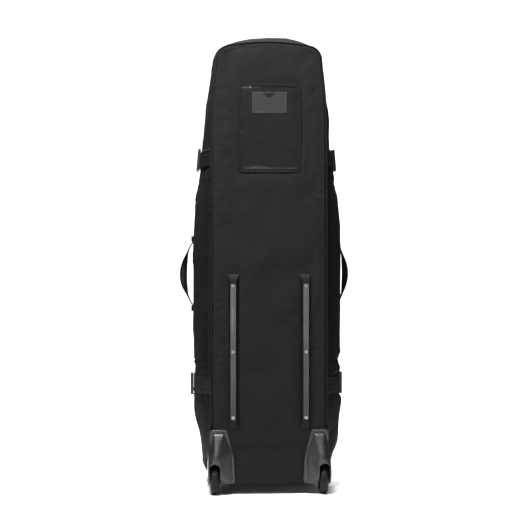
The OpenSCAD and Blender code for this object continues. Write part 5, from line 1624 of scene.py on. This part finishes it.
class CASE_OT_wheels(CaseOperator, bpy.types.Operator):
    """Moulded wheel housings, tyres, hubs, bearings and axles"""
    bl_idname = "travel_case.wheels"
    bl_label = "Wheels"

    def execute(self, context):
        import bmesh
        for node in ("left_wheel_housing", "right_wheel_housing"):
            bm = bmesh.new()
            bm.from_mesh(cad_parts[node].data)
            bmesh.ops.remove_doubles(bm, verts=bm.verts, dist=1e-5)
            mesh = bpy.data.meshes.new(node)
            bm.to_mesh(mesh)
            bm.free()
            obj = link(node + "_moulding", mesh)
            voxel = obj.modifiers.new("Voxels", "REMESH")
            voxel.mode, voxel.voxel_size, voxel.use_smooth_shade = "VOXEL", 0.0014, True
            soft = obj.modifiers.new("Soft", "SMOOTH")
            soft.factor, soft.iterations = 0.5, 5
            plain(obj)
            co = np.array([v.co for v in obj.data.vertices])
            bulge = ease(BACK_Y - co[:, 1], 0.007, 0.014) * ease(co[:, 2], 0.070, 0.094)
            group = obj.vertex_groups.new(name="Bulge")
            for level in np.linspace(0.1, 1, 10):
                group.add([int(i) for i in np.flatnonzero(np.abs(bulge - level) < 0.05)], float(level),
                          "REPLACE")
            round_off = obj.modifiers.new("Rounding", "SMOOTH")
            round_off.factor, round_off.iterations, round_off.vertex_group = 0.5, 70, "Bulge"
            plain(obj)
            coat(obj, "grained_abs")
            self.emboss(obj)
            ready(obj, "case", "housing_plastic", node)
        for side in ("left", "right"):
            lo, hi = low(side + "_tyre"), high(side + "_tyre")
            centre = (lo + hi) / 2
            r, w = (hi.z - lo.z) / 2, (hi.x - lo.x) / 2
            profile = [(-w + 0.003, 0.0238), (-w + 0.003, r - 0.012)]
            for k in range(25):
                q = math.radians(-90 + 180 * k / 24)
                groove = 0.0007 if k in (8, 16) else 0.0
                profile.append((w * math.sin(q), r - 0.010 + (0.010 - groove) * math.cos(q) ** 0.8))
            profile += [(w - 0.003, r - 0.012), (w - 0.003, 0.0238)]
            tyre = lathe(side + "_tread", profile, centre)
            coat(tyre, "cast_urethane")
            ready(tyre, side + "_wheel", "wheel_tyre", side + "_tyre")
            hard(side + "_hub", side + "_wheel", "wheel_hub", "satin_nylon", 0.6)
            hard(side + "_bearings", side + "_wheel", "bearing_steel", "ground_bearing_steel", 0.25)
        hard("axle_bolts", "case", "axle_steel", "zinc_plated_steel", 0.5)
        hard("axle_spacers", "case", "axle_steel", "zinc_plated_steel", 0.2)
        return {"FINISHED"}

    @staticmethod
    def emboss(obj):
        """Presses a border groove into the flange that faces back."""
        co = np.empty(len(obj.data.vertices) * 3)
        obj.data.vertices.foreach_get("co", co)
        co = co.reshape(-1, 3)
        x, t, z = np.abs(co[:, 0]), co[:, 1] - BACK_Y, co[:, 2]
        inner = np.interp(z, [0.031, 0.101, 0.181], [0.094, 0.098, 0.117])
        outer = np.interp(z, [0.074, 0.096, 0.181], [0.171, 0.1665, 0.1665])
        edge = np.minimum(np.minimum(x - inner, outer - x), 0.181 - z)
        facing = (t < -0.001) & (t > -0.008)
        groove = np.exp(-((edge - 0.0065) / 0.0014) ** 2) * 0.0009 * facing
        co[:, 1] += groove
        obj.data.vertices.foreach_set("co", co.ravel())
        obj.data.update()


class CASE_OT_stitches(CaseOperator, bpy.types.Operator):
    """Lockstitch along the seams, bindings, straps and patches"""
    bl_idname = "travel_case.stitches"
    bl_label = "Stitching"

    def execute(self, context):
        s, skin = self.s, skin_of(self.s)
        back, out_back, out_front = BACK_Y, (0, -1, 0), (0, 1, 0)
        rows = []

        def line(points, outward):
            points = np.asarray(points, float)
            rows.append((points, np.broadcast_to(outward, points.shape)))

        for inset in (0.0028, 0.0085):
            ring = rounded_ring(high("window_binding").x, 0.125, 0.020, inset)
            ring = np.vstack([ring, ring[:1]])
            line(np.stack([ring[:, 0], np.full(len(ring), back - 0.0027), ring[:, 1] + 1.019], -1), out_back)
        for z in (0.129, 0.137):
            x = np.linspace(-0.098 - (z - 0.1) * 0.2, 0.098 + (z - 0.1) * 0.2, 80)
            line(np.stack([x, np.full(80, back - 0.0001), np.full(80, z)], -1), out_back)
        ring = rounded_ring(0.092, 0.0485, 0.004, 0.0035)
        ring = np.vstack([ring, ring[:1]])
        line(np.stack([ring[:, 0], np.full(len(ring), back - 0.0014), ring[:, 1] + 0.080], -1), out_back)
        ends = skin.arc_at(0.19)
        arcs = np.linspace(-ends, ends, 900)
        points, outward = skin_line(skin, arcs, s.wall + 0.0106, 0.0003)
        rows.append((points, outward))
        for sign in (-1, 1):
            for z in (0.937, 0.301):
                for shift in (-0.0215, 0.0215):
                    a = sign * skin.arc_at(z + shift)
                    for t0, t1 in ((s.wall + 0.004, 0.030), (0.184, 0.197)):
                        t = np.linspace(t0, t1, 20)
                        rows.append(skin_line(skin, np.full(20, a), t, 0.0024))
                for t in (0.0305, 0.184):
                    a = sign * np.linspace(skin.arc_at(z + 0.0215), skin.arc_at(z - 0.0215), 20)
                    rows.append(skin_line(skin, a, t, 0.0024))
            lo, hi = low("right_side_pocket"), high("right_side_pocket")
            for t in (lo.y - back + 0.0025, hi.y - back - 0.0025):
                a = sign * np.linspace(skin.arc_at(hi.z - 0.01), skin.arc_at(lo.z + 0.004), 200)
                rows.append(skin_line(skin, a, t, 0.0018))
        thread = repeats("case_stitching", rows, "bonded_nylon_thread", s.stitch * 1.25, s.stitch, 0.0006,
                         0.0005)
        ready(thread, "case", "webbing")
        rows = []
        pocket_lo, pocket_hi = low("lid_pocket"), high("lid_pocket")
        for inset in (0.0022, 0.0048):
            ring = rounded_ring(pocket_hi.x, (pocket_hi.z - pocket_lo.z) / 2, 0.034, inset)
            ring = np.vstack([ring, ring[:1]])
            line(np.stack([ring[:, 0], np.full(len(ring), FRONT_Y + 0.0018),
                           ring[:, 1] + (pocket_lo.z + pocket_hi.z) / 2], -1), out_front)
        lo, hi = low("lid_pocket_zip"), high("lid_pocket_zip")
        for z in (lo.z + 0.0022, hi.z - 0.0022):
            x = np.linspace(lo.x, hi.x, 60)
            line(np.stack([x, np.full(60, lo.y + 0.0009), np.full(60, z)], -1), out_front)
        ends = skin.arc_at(0.145)
        arcs = np.linspace(-ends, ends, 900)
        rows.append(skin_line(skin, arcs, s.depth - s.wall - 0.008, 0.0004))
        thread = repeats("lid_stitching", rows, "bonded_nylon_thread", s.stitch * 1.25, s.stitch, 0.0006,
                         0.0005)
        ready(thread, "lid", "webbing")
        return {"FINISHED"}


class CASE_OT_stage(CaseOperator, bpy.types.Operator):
    """Pale floor, soft studio light and the camera"""
    bl_idname = "travel_case.stage"
    bl_label = "Stage"

    def execute(self, context):
        scene = context.scene
        world = bpy.data.worlds.new("Studio")
        scene.world = world
        scene.view_settings.view_transform = "Standard"
        world.use_nodes = True
        world.node_tree.nodes["Background"].inputs[0].default_value = (1, 1, 1, 1)
        world.node_tree.nodes["Background"].inputs[1].default_value = 0.15
        rows = [(0.0, -40.0), (0.0, 6.0), (0.2, 7.0), (1.0, 7.8), (8.0, 8.0)]
        points = np.array([[(x, y, z) for x in (-40.0, 40.0)] for z, y in rows])
        floor = grid("studio_floor", points[:, ::-1], None)
        paper = shade("matt_white_paper", linear("f4f4f4"), 0.9)
        floor.data.materials.append(paper)
        for name, place, aim, wide, tall, watts in (
                ("key", (-0.50, -1.30, 2.5), (0, 0, 1.1), 1.1, 0.8, 150),
                ("strip", (-2.3, -3.3, 1.0), (0, 0, 0.8), 0.09, 2.0, 22),
                ("behind", (0.0, 2.6, 1.7), (0, 0.2, 0.7), 0.3, 0.9, 45),
                ("top", (0.1, 0.4, 3.3), (0, 0, 1.2), 1.6, 1.0, 62),
                ("sweep", (0.0, 3.0, 5.5), (0, 7.0, 1.0), 8.0, 2.0, 700)):
            lamp = bpy.data.lights.new(name, "AREA")
            lamp.shape, lamp.size, lamp.size_y, lamp.energy = "RECTANGLE", wide, tall, watts
            obj = bpy.data.objects.new(name, lamp)
            scene.collection.objects.link(obj)
            obj.location = place
            obj.visible_camera = False
            obj.rotation_euler = (Vector(aim) - Vector(place)).to_track_quat("-Z", "Y").to_euler()
        velvet = shade("black_velvet", linear("050505"), 1.0)
        u, v = np.meshgrid(np.linspace(0, 1, 3), np.linspace(0, 1, 3))
        for place in (np.stack([-0.62 + 0 * u, 2.9 * u - 0.8, 1.9 * v + 0.02], -1),
                      np.stack([0.62 + 0 * u, 2.9 * u - 0.8, 1.9 * v + 0.02], -1)):
            flag = grid("black_flag", place, None)
            flag.data.materials.append(velvet)
            flag.visible_camera = flag.visible_shadow = False
        camera = bpy.data.cameras.new("camera")
        eye = bpy.data.objects.new("camera", camera)
        scene.collection.objects.link(eye)
        azimuth, distance, height = math.radians(-4.0), 4.0, 0.652
        eye.location = (distance * math.sin(azimuth), BACK_Y - distance * math.cos(azimuth), height)
        eye.rotation_euler = (math.radians(90), 0, azimuth)
        camera.sensor_width = 36.0
        camera.lens = 36.0 * distance / 1.4456
        camera.shift_x, camera.shift_y = -0.018, 0.0
        scene.camera = eye
        return {"FINISHED"}


class CASE_PT_panel(bpy.types.Panel):
    """Lists the case's pieces"""
    bl_idname = "CASE_PT_panel"
    bl_label = "Golf travel case"
    bl_space_type = "VIEW_3D"
    bl_region_type = "UI"
    bl_category = "Travel Case"

    def draw(self, context):
        for group in (context.scene.case_sizes, context.scene.case_colours):
            column = self.layout.column(align=True)
            for name in group.__annotations__:
                column.prop(group, name)
        column = self.layout.column(align=True)
        for operator in OPERATORS:
            column.operator(operator.bl_idname)


OPERATORS = (CASE_OT_back, CASE_OT_walls, CASE_OT_base, CASE_OT_crown, CASE_OT_piping, CASE_OT_window,
             CASE_OT_zips,
             CASE_OT_lid, CASE_OT_pockets, CASE_OT_straps, CASE_OT_rails, CASE_OT_wheels, CASE_OT_stitches,
             CASE_OT_stage)
CLASSES = (CaseSizes, CaseColours) + OPERATORS + (CASE_PT_panel,)


def register():
    for each in CLASSES:
        bpy.utils.register_class(each)
    bpy.types.Scene.case_sizes = bpy.props.PointerProperty(type=CaseSizes)
    bpy.types.Scene.case_colours = bpy.props.PointerProperty(type=CaseColours)


def unregister():
    del bpy.types.Scene.case_sizes, bpy.types.Scene.case_colours
    for each in reversed(CLASSES):
        bpy.utils.unregister_class(each)


def main():
    register()
    for operator in OPERATORS:
        area, name = operator.bl_idname.split(".")
        getattr(getattr(bpy.ops, area), name)()


if __name__ == "__main__":
    main()
